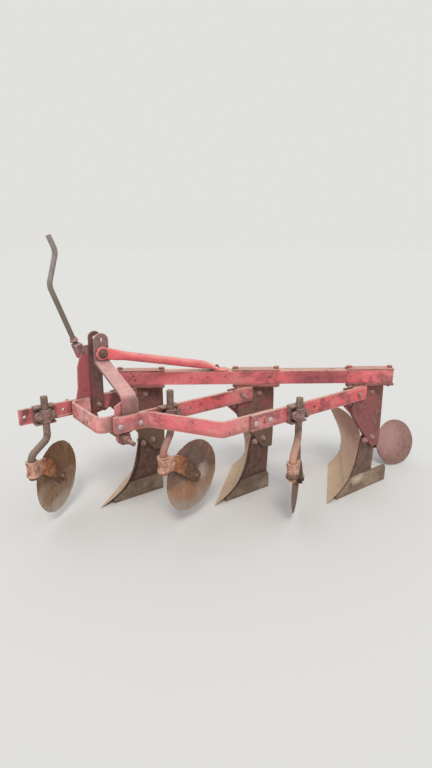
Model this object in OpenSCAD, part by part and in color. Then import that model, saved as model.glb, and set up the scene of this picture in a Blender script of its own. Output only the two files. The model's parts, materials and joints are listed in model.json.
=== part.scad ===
// Three furrow mounted moldboard plough, right hand.
// X is forward, Y is to the left, Z is up. Lengths are millimetres.
// Bottom number b stands one spacing back and one cut to the left of the bottom before it.
// The furrow wall side of the first bottom is the plane Y = 0 and its share point is X = 0.

/* [Layout] */
// Width of the furrow that each bottom cuts
cut_w = 356; // [340:1:375]
// Distance from one bottom to the next along the line of travel
spacing = 508; // [490:1:530]
// Height of the underside of the beam above the ground
beam_z = 660; // [640:1:690]

/* [Beam] */
// Side of the square beam tube
beam_size = 70; // [60:1:76]
// Wall of the beam tube
beam_wall = 8; // [5:0.5:10]
// Length of beam past the middle of the end legs
beam_over = 122; // [115:1:150]

/* [Beam clamps] */
// Length of a clamp plate along the beam
clamp_len = 250; // [230:1:260]
// Width of the top plate across the beam
clamp_w = 66; // [58:1:70]
// Thickness of the top plate
clamp_t = 8; // [6:1:12]
// Width of the flange under the beam
flange_w = 90; // [88:1:100]
// Thickness of the flange under the beam
flange_t = 12; // [8:1:16]
// Diameter of the bolts through the beam
clamp_bolt_d = 16; // [14:1:20]
// Height of a nut or head on those bolts
clamp_nut_h = 12; // [9:1:16]

/* [Legs] */
// Thickness of a leg
leg_t = 22; // [18:1:26]
// Front edge of the leg under the beam, from the share point
leg_front = -160; // [-170:1:-150]
// Rear edge of the leg, from the share point
leg_rear = -412; // [-425:1:-400]
// Height of the lower end of the leg
leg_foot_z = 262; // [250:1:280]
// Width of the leg at its lower end
leg_foot_w = 62; // [56:1:75]
// Thickness of the web that hangs from the beam beside the leg
web_t = 14; // [10:1:18]
// Depth of that web
web_h = 105; // [95:1:130]

/* [Bottoms] */
// Height of the landside plate
landside_h = 100; // [90:1:110]
// Thickness of the landside plate
landside_t = 12; // [10:1:14]
// Rear end of the short landsides, from the share point
landside_end = -402; // [-430:1:-395]
// Rear end of the long landside of the last bottom
heel_end = -520; // [-560:1:-500]
// Thickness of the frog's side plate
frog_t = 20; // [16:1:24]
// Thickness of the moldboard
board_t = 8; // [6:0.5:10]
// Height of the seam between share and moldboard
seam_z = 76; // [65:1:90]
// Distance that the moldboard wing reaches to the right
wing_reach = 400; // [380:1:420]
// Distance that the share reaches to the right
share_reach = 350; // [330:1:370]

/* [Frame bars] */
// Thickness of the flat frame bars
bar_t = 16; // [12:1:18]
// Height of the flat frame bars
bar_h = 75; // [65:1:80]
// Front end of the first bar, from its share point
bar_front = 379; // [360:1:400]
// Front end of the other bars, from their share points
bar_front_long = 575; // [560:1:590]
// Thickness of the two bent bars
bent_t = 14; // [10:1:16]
// Radius of the bends in those bars, on the right of the bend
bent_r = 40; // [30:1:60]
// Diameter of the spare holes in the bars
bar_hole_d = 16; // [14:1:18]
// Distance from one spare hole to the next
bar_hole_pitch = 63; // [58:1:68]

/* [Headstock] */
// Thickness of the mast straps
mast_t = 12; // [10:1:14]
// Width of the right mast strap
mast_w = 62; // [56:1:70]
// Width of the left mast strap
mast_near_w = 74; // [66:1:80]
// Clear gap between the mast straps at the top link
link_gap = 62; // [56:1:70]
// Height of the top link hole
top_pin_z = 950; // [930:1:965]
// Diameter of the top link hole
top_pin_d = 19.4; // [19.2:0.1:25.7]
// Height of the cross shaft
shaft_z = 535; // [525:1:545]
// Diameter of the cross shaft
shaft_d = 36; // [32:1:40]
// Diameter of the lower link pins
link_pin_d = 22; // [21.8:0.1:28.4]
// Distance between the shoulders of the lower link pins
link_span = 683; // [670:1:690]
// Length of a lower link pin
link_pin_len = 50; // [45:1:60]

/* [Coulters] */
// Diameter of the coulter disc
disc_d = 370; // [350:1:381]
// Thickness of the coulter disc
disc_t = 5; // [4:0.5:6]
// Diameter of the coulter stem
stem_d = 34; // [30:1:38]
// Offset of the swivel pin from the clamped part of the stem
stem_throw = 104; // [95:1:110]
// Diameter of the swivel pin at the stem's lower end
swivel_d = 26; // [22:1:28]
// Distance from the swivel pin back to the disc's axle
trail = 199; // [195:1:206]
// Drop from the middle of the swivel to the disc's axle
axle_drop = 130; // [120:1:140]
// Length of the clamp's saddle along the bar
saddle_w = 100; // [96:1:110]
// Thickness of the saddle's web
saddle_t = 10; // [8:1:12]
// Height of the yoke that holds the stem in the saddle
yoke_h = 62; // [54:1:66]
// Distance between the yoke's two bolts
yoke_bolt_gap = 64; // [60:1:70]

/* [Rear wheel] */
// Diameter of the rear wheel
wheel_d = 290; // [270:1:300]
// Angle that the wheel leans away from the furrow wall
wheel_lean = 15; // [10:1:20]
// Angle that the wheel is turned from the line of travel
wheel_toe = 14; // [10:1:18]

/* [Hidden] */
$fn = 48;

red = "firebrick";
rust = "saddlebrown";
worn = "rosybrown";
steel = "dimgray";

// Spare length of a tool that cuts right through a plate
over = 1;
// Gap between a moving piece and what it runs on
run_gap = 0.1;
// Gap between a piece and its seat
seat_gap = 0.3;
// Gap behind share and moldboard, whose facets stand off the true curve
curve_gap = 0.8;
// Play of a bolt in its hole
bolt_play = 1;

// Outer faces of the pieces that lie side by side at the furrow wall
leg_left = leg_t - landside_t;
frog_left = -landside_t;
bar_left = leg_left + bar_t;
bar_top = beam_z - flange_t;
bar_mid = bar_top - bar_h / 2;

// The beam runs along the line of the bottoms, over the middle of each leg
beam_angle = atan2(cut_w, -spacing);
bottom_step = norm([spacing, cut_w]);
leg_mid = (leg_front + leg_rear) / 2;
beam_mid_y = (leg_left + frog_left) / 2;
beam_top = beam_z + beam_size;
clamp_bolt_x = clamp_len / 2 - 14;

module at_bottom(b) translate([-spacing * b, cut_w * b, 0]) children();

// A plate in a plane of constant Y, from y0 to y1, with its outline given as [x, z]
module side_plate(points, y0, y1)
    translate([0, y1, 0]) rotate([90, 0, 0]) linear_extrude(y1 - y0) polygon(points);

// A round bar between two points. Its seam is turned off the planes that the bars bend in.
seam_turn = 40;
module rod(p, q, d) {
    v = q - p;
    translate(p) rotate([0, acos(v.z / norm(v)), atan2(v.y, v.x)]) rotate([0, 0, seam_turn])
        cylinder(d = d, h = norm(v));
}

// A round bar along a list of points, with a bend of radius r at each inner point. A bend is
// upset by a hair, and the straights run into it.
bend_upset = 0.6;
bend_lap = 2;
function unit(v) = v / norm(v);
module bent_rod(points, d, r) {
    n = len(points);
    way = [for (i = [0 : n - 2]) unit(points[i + 1] - points[i])];
    reach = [for (i = [1 : 1 : n - 2]) r * tan(acos(way[i - 1] * way[i]) / 2)];
    for (i = [0 : n - 2]) rod(
        i == 0 ? points[i] : points[i] + way[i] * (reach[i - 1] - bend_lap),
        i == n - 2 ? points[i + 1] : points[i + 1] - way[i] * (reach[i] - bend_lap), d);
    for (i = [1 : 1 : n - 2]) {
        u = way[i - 1];
        out = -unit(way[i] - u * (u * way[i]));
        side = cross(out, u);
        at = points[i] - u * reach[i - 1] - out * r;
        multmatrix([[out.x, u.x, side.x, at.x], [out.y, u.y, side.y, at.y], [out.z, u.z, side.z, at.z],
            [0, 0, 0, 1]])
            rotate_extrude(angle = acos(u * way[i])) translate([r, 0]) rotate(2 * seam_turn)
                circle(d = d + bend_upset);
    }
}

module on_beam(b) at_bottom(b)
    translate([leg_mid, beam_mid_y, 0]) rotate([0, 0, beam_angle]) children();

module main_beam() color(red) difference() {
    translate([leg_mid, beam_mid_y, beam_z]) rotate([0, 0, beam_angle])
        translate([-beam_over, 0, 0]) rotate([90, 0, 90])
        linear_extrude(2 * bottom_step + 2 * beam_over) difference() {
            translate([-beam_size / 2, 0]) square(beam_size);
            translate([-beam_size / 2 + beam_wall, beam_wall]) square(beam_size - 2 * beam_wall);
        }
    for (b = [0 : 2]) clamp_holes(b, beam_z, beam_top);
}

// The two places of the bolts on a clamp, on the middle line of the beam
module clamp_bolts() for (x = [-1, 1]) translate([x * clamp_bolt_x, 0, 0]) children();
module clamp_holes(b, z0, z1) on_beam(b) clamp_bolts() translate([0, 0, z0 - over])
    cylinder(d = clamp_bolt_d + bolt_play, h = z1 - z0 + 2 * over);

// Top plate with the bolts that hold a leg bracket under the beam
module beam_clamp(b) color(rust) on_beam(b) {
    translate([-clamp_len / 2, -clamp_w / 2, beam_top]) cube([clamp_len, clamp_w, clamp_t]);
    clamp_bolts() {
        translate([0, 0, bar_top - clamp_nut_h - 4])
            cylinder(d = clamp_bolt_d, h = beam_top + clamp_t - bar_top + clamp_nut_h + 5);
        for (z = [beam_top + clamp_t, bar_top - clamp_nut_h]) translate([0, 0, z])
            cylinder(d = clamp_bolt_d * 1.8, h = clamp_nut_h, $fn = 6);
    }
}

// Flange under the beam with the web that leg and bar are bolted to. The web's nose reaches
// past the leg's front edge, under the bar.
web_rear = leg_mid - 40;
web_fore = leg_mid + 84;
web_nose = leg_front + 50;
module leg_bracket(b) color(red) {
    difference() {
        on_beam(b) translate([-clamp_len / 2, -flange_w / 2, bar_top]) cube([clamp_len, flange_w, flange_t]);
        clamp_holes(b, bar_top, beam_z);
    }
    at_bottom(b) side_plate([
        [web_rear, bar_top + flange_t / 2], [web_fore, bar_top + flange_t / 2], [web_fore, bar_top - 2],
        [web_nose, bar_top - 2], [web_nose - 2, bar_top - bar_h - 24], [leg_front - 24, bar_top - web_h - 60],
        [web_rear, bar_top - web_h]], frog_left - web_t, frog_left);
}

// Outline of a leg: broad under the beam, narrow where it meets the frog
leg_top = bar_top;
function leg_outline() = [
    [leg_front, leg_top],
    [leg_front + 4, bar_top - 120],
    [leg_front - 6, bar_top - 160],
    [leg_rear + leg_foot_w, leg_foot_z],
    [leg_rear, leg_foot_z],
    [leg_rear - 4, leg_foot_z + 90],
    [leg_rear, leg_top]];

module leg(b) color(rust) at_bottom(b) side_plate(leg_outline(), frog_left, leg_left);

// The working face of share and moldboard. Level straight lines run back from the
// shin, and each stands at its own angle to the line of travel, steeper towards the top.
shin_run = 200;
shin_rise = 70;
shin_slope = 0.15;
share_angle = 41;
top_angle = 22;
top_angle_z = 358;
function shin_x(z) = -shin_run * (1 - exp(-z / shin_rise)) - shin_slope * z;
function line_angle(z) = share_angle + top_angle * pow(z / top_angle_z, 1.5);
function face_point(across, z) = [shin_x(z) - across / tan(line_angle(z)), -across, z];
// Unit normal of the working face, away from the soil
function face_back(across, z) = let(
    a = face_point(across + 1, z) - face_point(across, z),
    b = face_point(across, z + 1) - face_point(across, z),
    n = cross(a, b)) (n.x > 0 ? -1 : 1) * n / norm(n);
// Thickness of share and moldboard at a height, and where their back stands at a reach
share_edge_t = 1.5;
function plate_t(z) = share_edge_t + (board_t - share_edge_t) * min(1, z / seam_z);
function back_x(across, z) = face_point(across, z).x
    - (plate_t(z) + curve_gap) / abs(face_back(across, z).x);
// Heights of the rows of a curved plate, closer together near the ground where it bends most
row_bias = 1.5;
function row_z(r, rows, z0, z1) = z0 + (z1 - z0) * pow(r / rows, row_bias);

// A curved plate between two skins of points, each given as rows of equal length
module skin_plate(front, back) {
    rows = len(front);
    cols = len(front[0]);
    n = rows * cols;
    pts = concat([for (r = front) each r], [for (r = back) each r]);
    function id(r, c) = r * cols + c;
    faces = concat(
        [for (r = [0 : rows - 2], c = [0 : cols - 2]) each [
            [id(r, c), id(r, c + 1), id(r + 1, c + 1)], [id(r, c), id(r + 1, c + 1), id(r + 1, c)],
            [n + id(r, c), n + id(r + 1, c + 1), n + id(r, c + 1)],
            [n + id(r, c), n + id(r + 1, c), n + id(r + 1, c + 1)]]],
        [for (c = [0 : cols - 2]) each [
            [id(0, c), n + id(0, c), n + id(0, c + 1)], [id(0, c), n + id(0, c + 1), id(0, c + 1)],
            [id(rows - 1, c), n + id(rows - 1, c + 1), n + id(rows - 1, c)],
            [id(rows - 1, c), id(rows - 1, c + 1), n + id(rows - 1, c + 1)]]],
        [for (r = [0 : rows - 2]) each [
            [id(r, 0), n + id(r + 1, 0), n + id(r, 0)], [id(r, 0), id(r + 1, 0), n + id(r + 1, 0)],
            [id(r, cols - 1), n + id(r, cols - 1), n + id(r + 1, cols - 1)],
            [id(r, cols - 1), n + id(r + 1, cols - 1), id(r + 1, cols - 1)]]]);
    polyhedron(points = pts, faces = faces, convexity = 4);
}

board_cols = 20;
board_rows = 16;
board_top_shin = 345;
board_top_wing = 358;
board_crown = 68;
function board_top(u) = board_top_shin + (board_top_wing - board_top_shin) * u
    + board_crown * 4 * u * (1 - u);
board_full_z = 160;
function wing_y(z) = share_reach + (wing_reach - share_reach) * min(1, z / board_full_z);
// Point of a plate's skin, kept to the right of the furrow wall and above the ground
function skin_point(across, z, back) = let(p = face_point(across, z) + face_back(across, z) * back)
    [p.x, min(0, p.y), max(0, p.z)];
function board_grid(back) = [for (r = [0 : board_rows]) [for (c = [0 : board_cols]) let(
    u = c / board_cols,
    z = row_z(r, board_rows, seam_z + seat_gap, board_top(u)))
    skin_point(wing_y(z) * u, z, back)]];

module moldboard(b) color(worn) at_bottom(b) skin_plate(board_grid(0), board_grid(board_t));

// The share runs from its cutting edge on the ground up to the seam
share_rows = 6;
share_flare = 4;
function share_grid(back) = [for (r = [0 : share_rows]) [for (c = [0 : board_cols]) let(
    z = row_z(r, share_rows, share_edge_t, seam_z))
    skin_point((share_reach + share_flare * z / seam_z) * c / board_cols, z, back * plate_t(z))]];

module share(b) color(worn) at_bottom(b) skin_plate(share_grid(0), share_grid(1));

// Side plate of the frog, behind the shin
frog_seat_t = 9;
frog_low = 14;
frog_high = 300;
frog_edge_rows = 14;
frog_lap = 92;
frog_heel_x = leg_rear + 16;
seat_cols = 4;
seat_rows = 14;
seat_low = 30;
seat_reach = 150;
// Front edge of a flat piece that follows the back of share and moldboard
function front_edge(across, z0, z1, rows) = [for (r = [0 : rows])
    let(z = row_z(r, rows, z0, z1)) [back_x(across, z), z]];
function frog_outline() = concat(
    front_edge(landside_t + frog_t, frog_low, frog_high, frog_edge_rows),
    [[leg_rear + leg_foot_w + 12, leg_foot_z + frog_lap], [leg_rear + 2, leg_foot_z + frog_lap],
     [frog_heel_x, landside_h + 10], [frog_heel_x, frog_low]]);
// Seat that backs the share and the lower part of the moldboard
seat_start = landside_t + frog_t * 0.75;
function seat_grid(back) = [for (r = [0 : seat_rows]) [for (c = [0 : seat_cols]) let(
    z = row_z(r, seat_rows, seat_low, frog_high),
    across = seat_start + (seat_reach - seat_start) * (1 - 0.5 * r / seat_rows) * c / seat_cols)
    skin_point(across, z, plate_t(z) + curve_gap + back)]];

module frog(b) color(steel) at_bottom(b) {
    side_plate(frog_outline(), frog_left - frog_t, frog_left);
    skin_plate(seat_grid(0), seat_grid(frog_seat_t));
}

// Landside plate, cut back at its front to follow the share
landside_nose_z = 24;
function landside_outline(rear) = concat(
    [[back_x(landside_t, landside_nose_z), 0]],
    front_edge(landside_t, landside_nose_z, landside_h, 4),
    [[rear + 12, landside_h], [rear, landside_h - 20], [rear, 0]]);

module landside(b) color(worn) at_bottom(b)
    side_plate(landside_outline(b == 2 ? heel_end : landside_end), -landside_t, 0);

// Flat bar on edge that runs forward from the leg and carries the coulter
function bar_end(b) = b == 0 ? bar_front : bar_front_long;
bar_rear = leg_front - 82;

// Spare holes along the bar, left out where the coulter's clamp covers them
bar_hole_first = 165;
bar_hole_count = 4;
function bar_holes(b) = [for (i = [0 : bar_hole_count - 1]) let(x = bar_hole_first + bar_hole_pitch * i)
    if (abs(x - stem_x[b]) > saddle_w / 2 + bar_hole_d / 2 && x < bar_end(b) - bar_hole_d) x];

module frame_bar(b) color(red) at_bottom(b) difference() {
    translate([bar_rear, leg_left, bar_top - bar_h]) cube([bar_end(b) - bar_rear, bar_t, bar_h]);
    for (x = bar_holes(b)) along_y(x, leg_left - over, bar_left + over, bar_mid, bar_hole_d / 2);
    for (s = [-1, 1]) along_y(stem_x[b] + s * yoke_bolt_gap / 2, leg_left - over, bar_left + over,
        bar_mid, (clamp_rod_d + bolt_play) / 2);
}

// Corner point of a path between two of its segments, moved to the left of the path by t
function mitre(a, p, b, t) = let(
    u = (p - a) / norm(p - a), v = (b - p) / norm(b - p),
    m = [-u.y, u.x], n = [-v.y, v.x]) p + (m + n) * t / (1 + m * n);
function square_end(p, q, t, at) = let(u = (q - p) / norm(q - p)) at + [-u.y, u.x] * t;
// Closed outline of a strip of thickness t that lies to the left of a path
function strip(path, t) = let(n = len(path)) concat(path,
    [square_end(path[n - 2], path[n - 1], t, path[n - 1])],
    [for (i = [n - 2 : -1 : 1]) mitre(path[i - 1], path[i], path[i + 1], t)],
    [square_end(path[0], path[1], t, path[0])]);

// A path with an arc at each of its corners
bend_steps = 6;
function turned(w, a) = [w.x * cos(a) - w.y * sin(a), w.x * sin(a) + w.y * cos(a)];
function corner_arc(a, p, b, r) = let(
    u = (p - a) / norm(p - a), v = (b - p) / norm(b - p), turn = acos(u * v),
    side = u.x * v.y > u.y * v.x ? 1 : -1, start = p - u * r * tan(turn / 2),
    middle = start + [-u.y, u.x] * r * side)
    [for (k = [0 : bend_steps]) middle + turned(start - middle, side * turn * k / bend_steps)];
function rounded(path, r) = let(n = len(path)) concat([path[0]],
    [for (i = [1 : n - 2]) each corner_arc(path[i - 1], path[i], path[i + 1], r)], [path[n - 1]]);

// Left bent bar: from the right face of the third bar, across to the left face of the second
left_lap_x = 425;
left_rear_x = -2 * spacing + left_lap_x;
left_bend_x = -287;
left_cross_x = -95;
left_front_x = -spacing + bar_front_long;
module bent_bar_left() color(red) translate([0, 0, bar_top - bar_h]) linear_extrude(bar_h)
    polygon(strip(rounded([
        [left_front_x, cut_w + bar_left + bent_t], [left_cross_x, cut_w + bar_left + bent_t],
        [left_bend_x, 2 * cut_w + leg_left], [left_rear_x, 2 * cut_w + leg_left]], bent_r), bent_t));

// Right bent bar: from the left face of the first bar to the hitch plate beside the second
hitch_t = 12;
hitch_inner_y = cut_w + leg_left - hitch_t;
right_web_x = 133;
right_flange_x = 30;
right_front_flange_x = 20;
web_hole_first = 124;
web_hole_pitch = 107;
web_hole_drop = 12;
module bent_bar_right() color(red) difference() {
    translate([0, 0, bar_top - bar_h]) linear_extrude(bar_h) polygon(strip(rounded([
        [right_flange_x, bar_left], [right_web_x, bar_left],
        [right_web_x, hitch_inner_y], [right_front_flange_x, hitch_inner_y]], bent_r), bent_t));
    for (i = [0, 1])
        translate([right_web_x - bent_t - over, web_hole_first + web_hole_pitch * i, bar_mid - web_hole_drop])
        rotate([0, 90, 0]) cylinder(d = bar_hole_d, h = bent_t + 2 * over);
}

// Hitch plates, one on each side of the headstock, that carry the cross shaft
shaft_x = 15;
hitch_boss_r = 34;
hitch_boss_lip = 3;
// The plate's narrow part ends inside the boss
hitch_neck = 22;
hitch_neck_up = 14;
// Lower end of a hitch plate's outline, from its front edge round to its rear edge
function hitch_neck_points() = [
    [shaft_x + hitch_neck, shaft_z + hitch_neck_up], [shaft_x + hitch_neck, shaft_z - hitch_neck],
    [shaft_x - hitch_neck, shaft_z - hitch_neck], [shaft_x - hitch_neck, shaft_z + hitch_neck_up]];
module hitch_plate(outline, y0) color(red) difference() {
    union() {
        side_plate(concat(outline, hitch_neck_points()), y0, y0 + hitch_t);
        along_y(shaft_x, y0 - hitch_boss_lip, y0 + hitch_t + hitch_boss_lip, shaft_z, hitch_boss_r);
    }
    along_y(shaft_x, y0 - hitch_t, y0 + 2 * hitch_t, shaft_z, shaft_d / 2 + seat_gap);
}
bar_low = bar_top - bar_h;
hitch_right_rear = -105;
hitch_right_fore = 60;
hitch_left_rear = -66;
hitch_left_fore = 52;
hitch_left_up = 62;
hitch_left_cut = 40;
module hitch_plate_right() hitch_plate([
    [hitch_right_rear, bar_low], [hitch_right_rear, bar_top], [hitch_right_fore, bar_top],
    [hitch_right_fore, bar_low]], leg_left - hitch_t);
module hitch_plate_left() hitch_plate([
    [hitch_left_rear, bar_low], [hitch_left_rear, bar_top + hitch_left_up],
    [hitch_left_fore - hitch_left_cut, bar_top + hitch_left_up],
    [hitch_left_fore, bar_top + hitch_left_up - hitch_left_cut / 2],
    [hitch_left_fore, bar_low]], hitch_inner_y);

// Cross shaft with a pin for a lower link at each end, and the arm that the screw turns it by
mast_right_y = bar_left;
mast_left_y = mast_right_y + mast_t + link_gap;
link_mid_y = mast_left_y - link_gap / 2;
screw_y = -24;
screw_foot = [-68, screw_y, 570];
screw_arm_t = 14;
screw_arm_inset = 1;
screw_eye_r = 22;
screw_eye_half = 15;
screw_pin_d = 18;
shaft_ring_r = 26;
shaft_ring_t = 12;
module along_y(x, y0, y1, z, r) translate([x, y1, z]) rotate([90, 0, 0]) cylinder(r = r, h = y1 - y0);
module cross_shaft() color(steel) {
    y0 = link_mid_y - link_span / 2;
    y1 = link_mid_y + link_span / 2;
    along_y(shaft_x, y0, y1, shaft_z, shaft_d / 2);
    along_y(shaft_x, y0 - link_pin_len, y1 + link_pin_len, shaft_z, link_pin_d / 2);
    // Rings that keep the shaft between the hitch plates
    for (y = [leg_left - hitch_t - hitch_boss_lip - seat_gap - shaft_ring_t,
        hitch_inner_y + hitch_t + hitch_boss_lip + seat_gap])
        along_y(shaft_x, y, y + shaft_ring_t, shaft_z, shaft_ring_r);
    arm_y = screw_y - screw_eye_half - seat_gap - screw_arm_t;
    along_y(shaft_x, arm_y, arm_y + screw_arm_t, shaft_z, shaft_ring_r);
    along_y(screw_foot.x, arm_y, arm_y + screw_arm_t, screw_foot.z, screw_eye_r);
    v = [screw_foot.x - shaft_x, screw_foot.z - shaft_z];
    translate([shaft_x, arm_y + screw_arm_inset, shaft_z]) rotate([0, -atan2(v.y, v.x), 0])
        translate([0, 0, -screw_eye_r * 0.8])
            cube([norm(v), screw_arm_t - 2 * screw_arm_inset, screw_eye_r * 1.6]);
    along_y(screw_foot.x, arm_y, screw_y + screw_eye_half + 4, screw_foot.z, screw_pin_d / 2);
}

// Mast straps; the top link pin goes through both
mast_top = top_pin_z + 32;
top_pin_x = -16;
module top_pin_hole() along_y(top_pin_x, 0, cut_w, top_pin_z, top_pin_d / 2);
// Upright outline of a strap with a round top
module mast_outline(w, low) {
    translate([top_pin_x - w / 2, low]) square([w, mast_top - w / 2 - low]);
    translate([top_pin_x, mast_top - w / 2]) circle(w / 2);
}
module mast_right() color(steel) difference() {
    translate([0, mast_right_y + mast_t, 0]) rotate([90, 0, 0]) linear_extrude(mast_t)
        mast_outline(mast_w, bar_top - bar_h + 8);
    top_pin_hole();
    stay_hole();
}
mast_bend_z = 845;
mast_foot_z = 737;
// Radii of the left strap's bends, above its foot and under the stay's eye
mast_foot_bend_r = 40;
mast_top_bend_r = 10;
// Left face of the left strap, seen from behind: [y, z]
mast_foot_y = hitch_inner_y + hitch_t + mast_t + seat_gap;
mast_left_path = [[mast_foot_y, bar_top + seat_gap], [mast_foot_y, mast_foot_z],
    [mast_left_y + mast_t, mast_bend_z], [mast_left_y + mast_t, mast_top]];
module mast_left() color(worn) difference() {
    p = mast_left_path;
    intersection() {
        translate([top_pin_x - mast_near_w / 2, 0, 0]) rotate([90, 0, 90]) linear_extrude(mast_near_w)
            polygon(strip(concat([p[0]], corner_arc(p[0], p[1], p[2], mast_foot_bend_r),
                corner_arc(p[1], p[2], p[3], mast_top_bend_r), [p[3]]), mast_t));
        translate([0, 2 * cut_w, 0]) rotate([90, 0, 0]) linear_extrude(2 * cut_w)
            mast_outline(mast_near_w, 0);
    }
    top_pin_hole();
    stay_hole();
}

// Stay from the mast back to the top of the beam, with the bolt that ties the straps together
stay_bolt_d = 22;
stay_x = -18;
stay_z = 884;
stay_d = 44;
stay_eye_r = 34;
stay_t = 10;
stay_foot_along = 435;
stay_foot = [leg_mid + cos(beam_angle) * stay_foot_along, beam_mid_y + sin(beam_angle) * stay_foot_along];
module stay_hole() along_y(stay_x, 0, cut_w, stay_z, stay_bolt_d / 2 + seat_gap);
module stay_tube() color(red) {
    eye_y = mast_left_y + mast_t;
    p = [stay_x - stay_eye_r - 30, eye_y + seat_gap + stay_d / 2 + 0.5, stay_z - 12];
    q = [stay_foot.x + 62, stay_foot.y - 34, beam_top + stay_d / 2 + 8];
    along_y(stay_x, mast_right_y - 16, eye_y + stay_t + 16, stay_z, stay_bolt_d / 2);
    along_y(stay_x, mast_right_y - 16, mast_right_y - seat_gap, stay_z, stay_bolt_d * 0.85);
    along_y(stay_x, mast_right_y + mast_t + seat_gap, mast_left_y - seat_gap, stay_z, stay_bolt_d * 0.8);
    along_y(stay_x, eye_y + seat_gap, eye_y + stay_t, stay_z, stay_eye_r);
    rod(p, q, stay_d);
    hull() {
        translate([stay_x - 20, eye_y + seat_gap, stay_z - 26]) cube([4, stay_t - seat_gap, 50]);
        translate(p) rotate([0, 90, 0]) cylinder(d = stay_d, h = 4, $fn = 32);
    }
    hull() {
        translate(q) rotate([0, -90, 0]) cylinder(d = stay_d, h = 4, $fn = 32);
        translate([stay_foot.x + 8, stay_foot.y - 34, beam_top]) cube([6, 60, stay_t]);
    }
    translate([stay_foot.x, stay_foot.y, beam_top]) rotate([0, 0, beam_angle + 180])
        translate([-45, -30, 0]) cube([70, 60, stay_t]);
}

// Plate that stands on the first bar beside the mast and holds the screw's block
screw_plate_t = 12;
screw_dir = [0.342, 0, 0.94];
screw_block_z = 885;
screw_block_h = 72;
screw_block_w = 36;
bracket_rear = -20;
bracket_fore = 92;
// Height that the bracket stands above the bar before it narrows
bracket_waist = 162;
module screw_bracket() color(red) {
    y1 = mast_right_y;
    at = screw_foot + screw_dir * (screw_block_z - screw_foot.z) / screw_dir.z;
    head_x = stay_x + stay_bolt_d + 4;
    side_plate([[bracket_rear, bar_top + seat_gap], [bracket_fore, bar_top + seat_gap],
        [bracket_fore - 12, bar_top + bracket_waist / 3], [bracket_fore - 17, bar_top + bracket_waist],
        [at.x + 11, at.z - 23], [at.x - 11, at.z + 29], [head_x, at.z + 29],
        [head_x, stay_z - 32], [bracket_rear, stay_z - 54]], y1 - screw_plate_t, y1);
    translate(at) rotate([0, acos(screw_dir.z), 0]) difference() {
        translate([-screw_block_w / 2, -screw_block_w / 2, -screw_block_h / 2])
            cube([screw_block_w, y1 - screw_plate_t - screw_y + screw_block_w / 2 + 1, screw_block_h]);
        cylinder(d = crank_d + 2 * seat_gap, h = screw_block_h + 2 * over, center = true);
    }
}

// Screw and crank handle in one bent rod, with its eye on the cross shaft's arm
crank_d = 25;
crank_bend_r = 70;
crank_points = [[165, screw_y, 1209], [121, screw_y, 1363], [150, screw_y, 1436]];
module hand_crank() color(worn) {
    bent_rod(concat([screw_foot + screw_dir * (screw_eye_r - 3)], crank_points), crank_d, crank_bend_r);
    difference() {
        along_y(screw_foot.x, screw_y - screw_eye_half, screw_y + screw_eye_half, screw_foot.z, screw_eye_r);
        along_y(screw_foot.x, screw_y - 2 * screw_eye_half, screw_y + 2 * screw_eye_half, screw_foot.z,
            screw_pin_d / 2 + seat_gap);
    }
}

// Coulters. One entry a bottom: place of the clamped stem, angle of its crank,
// height of the swivel's middle and rest angle of the trailing arm.
stem_x = [265, 295, 300];
throw_angle = [21, 37, 33];
swivel_z = [372, 402, 360];
arm_angle = [38, 14, 38];
stem_up = 332;
stem_bend_r = 40;
crank_low = 66;
crank_high = 121;
collar_r = 30;
collar_waist_r = 26;
collar_flange_t = 14;
collar_h = 76;
swivel_nut_t = 16;
swivel_nut_r = 21;
// Length of the pin above the collar, inside the foot of the stem
swivel_root = 12;
clamp_rod_d = 14;
clamp_gap_y = bar_left + saddle_t;
stem_y = clamp_gap_y + stem_d / 2;
// Lips of the saddle: they grip the bar's edges and reach out beside the stem
lip_t = 8;
lip_grip = 10;
lip_reach = 20;
lip_notch_play = 1;
yoke_wall = 11;
// The yoke's inner face stands this far past the stem's middle
yoke_inset = 3;
lug_r = 21;
lug_t = 14;
lug_proud = 3;
back_plate_t = 10;
clamp_nut_r = 13;
clamp_nut_t = 11;

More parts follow.
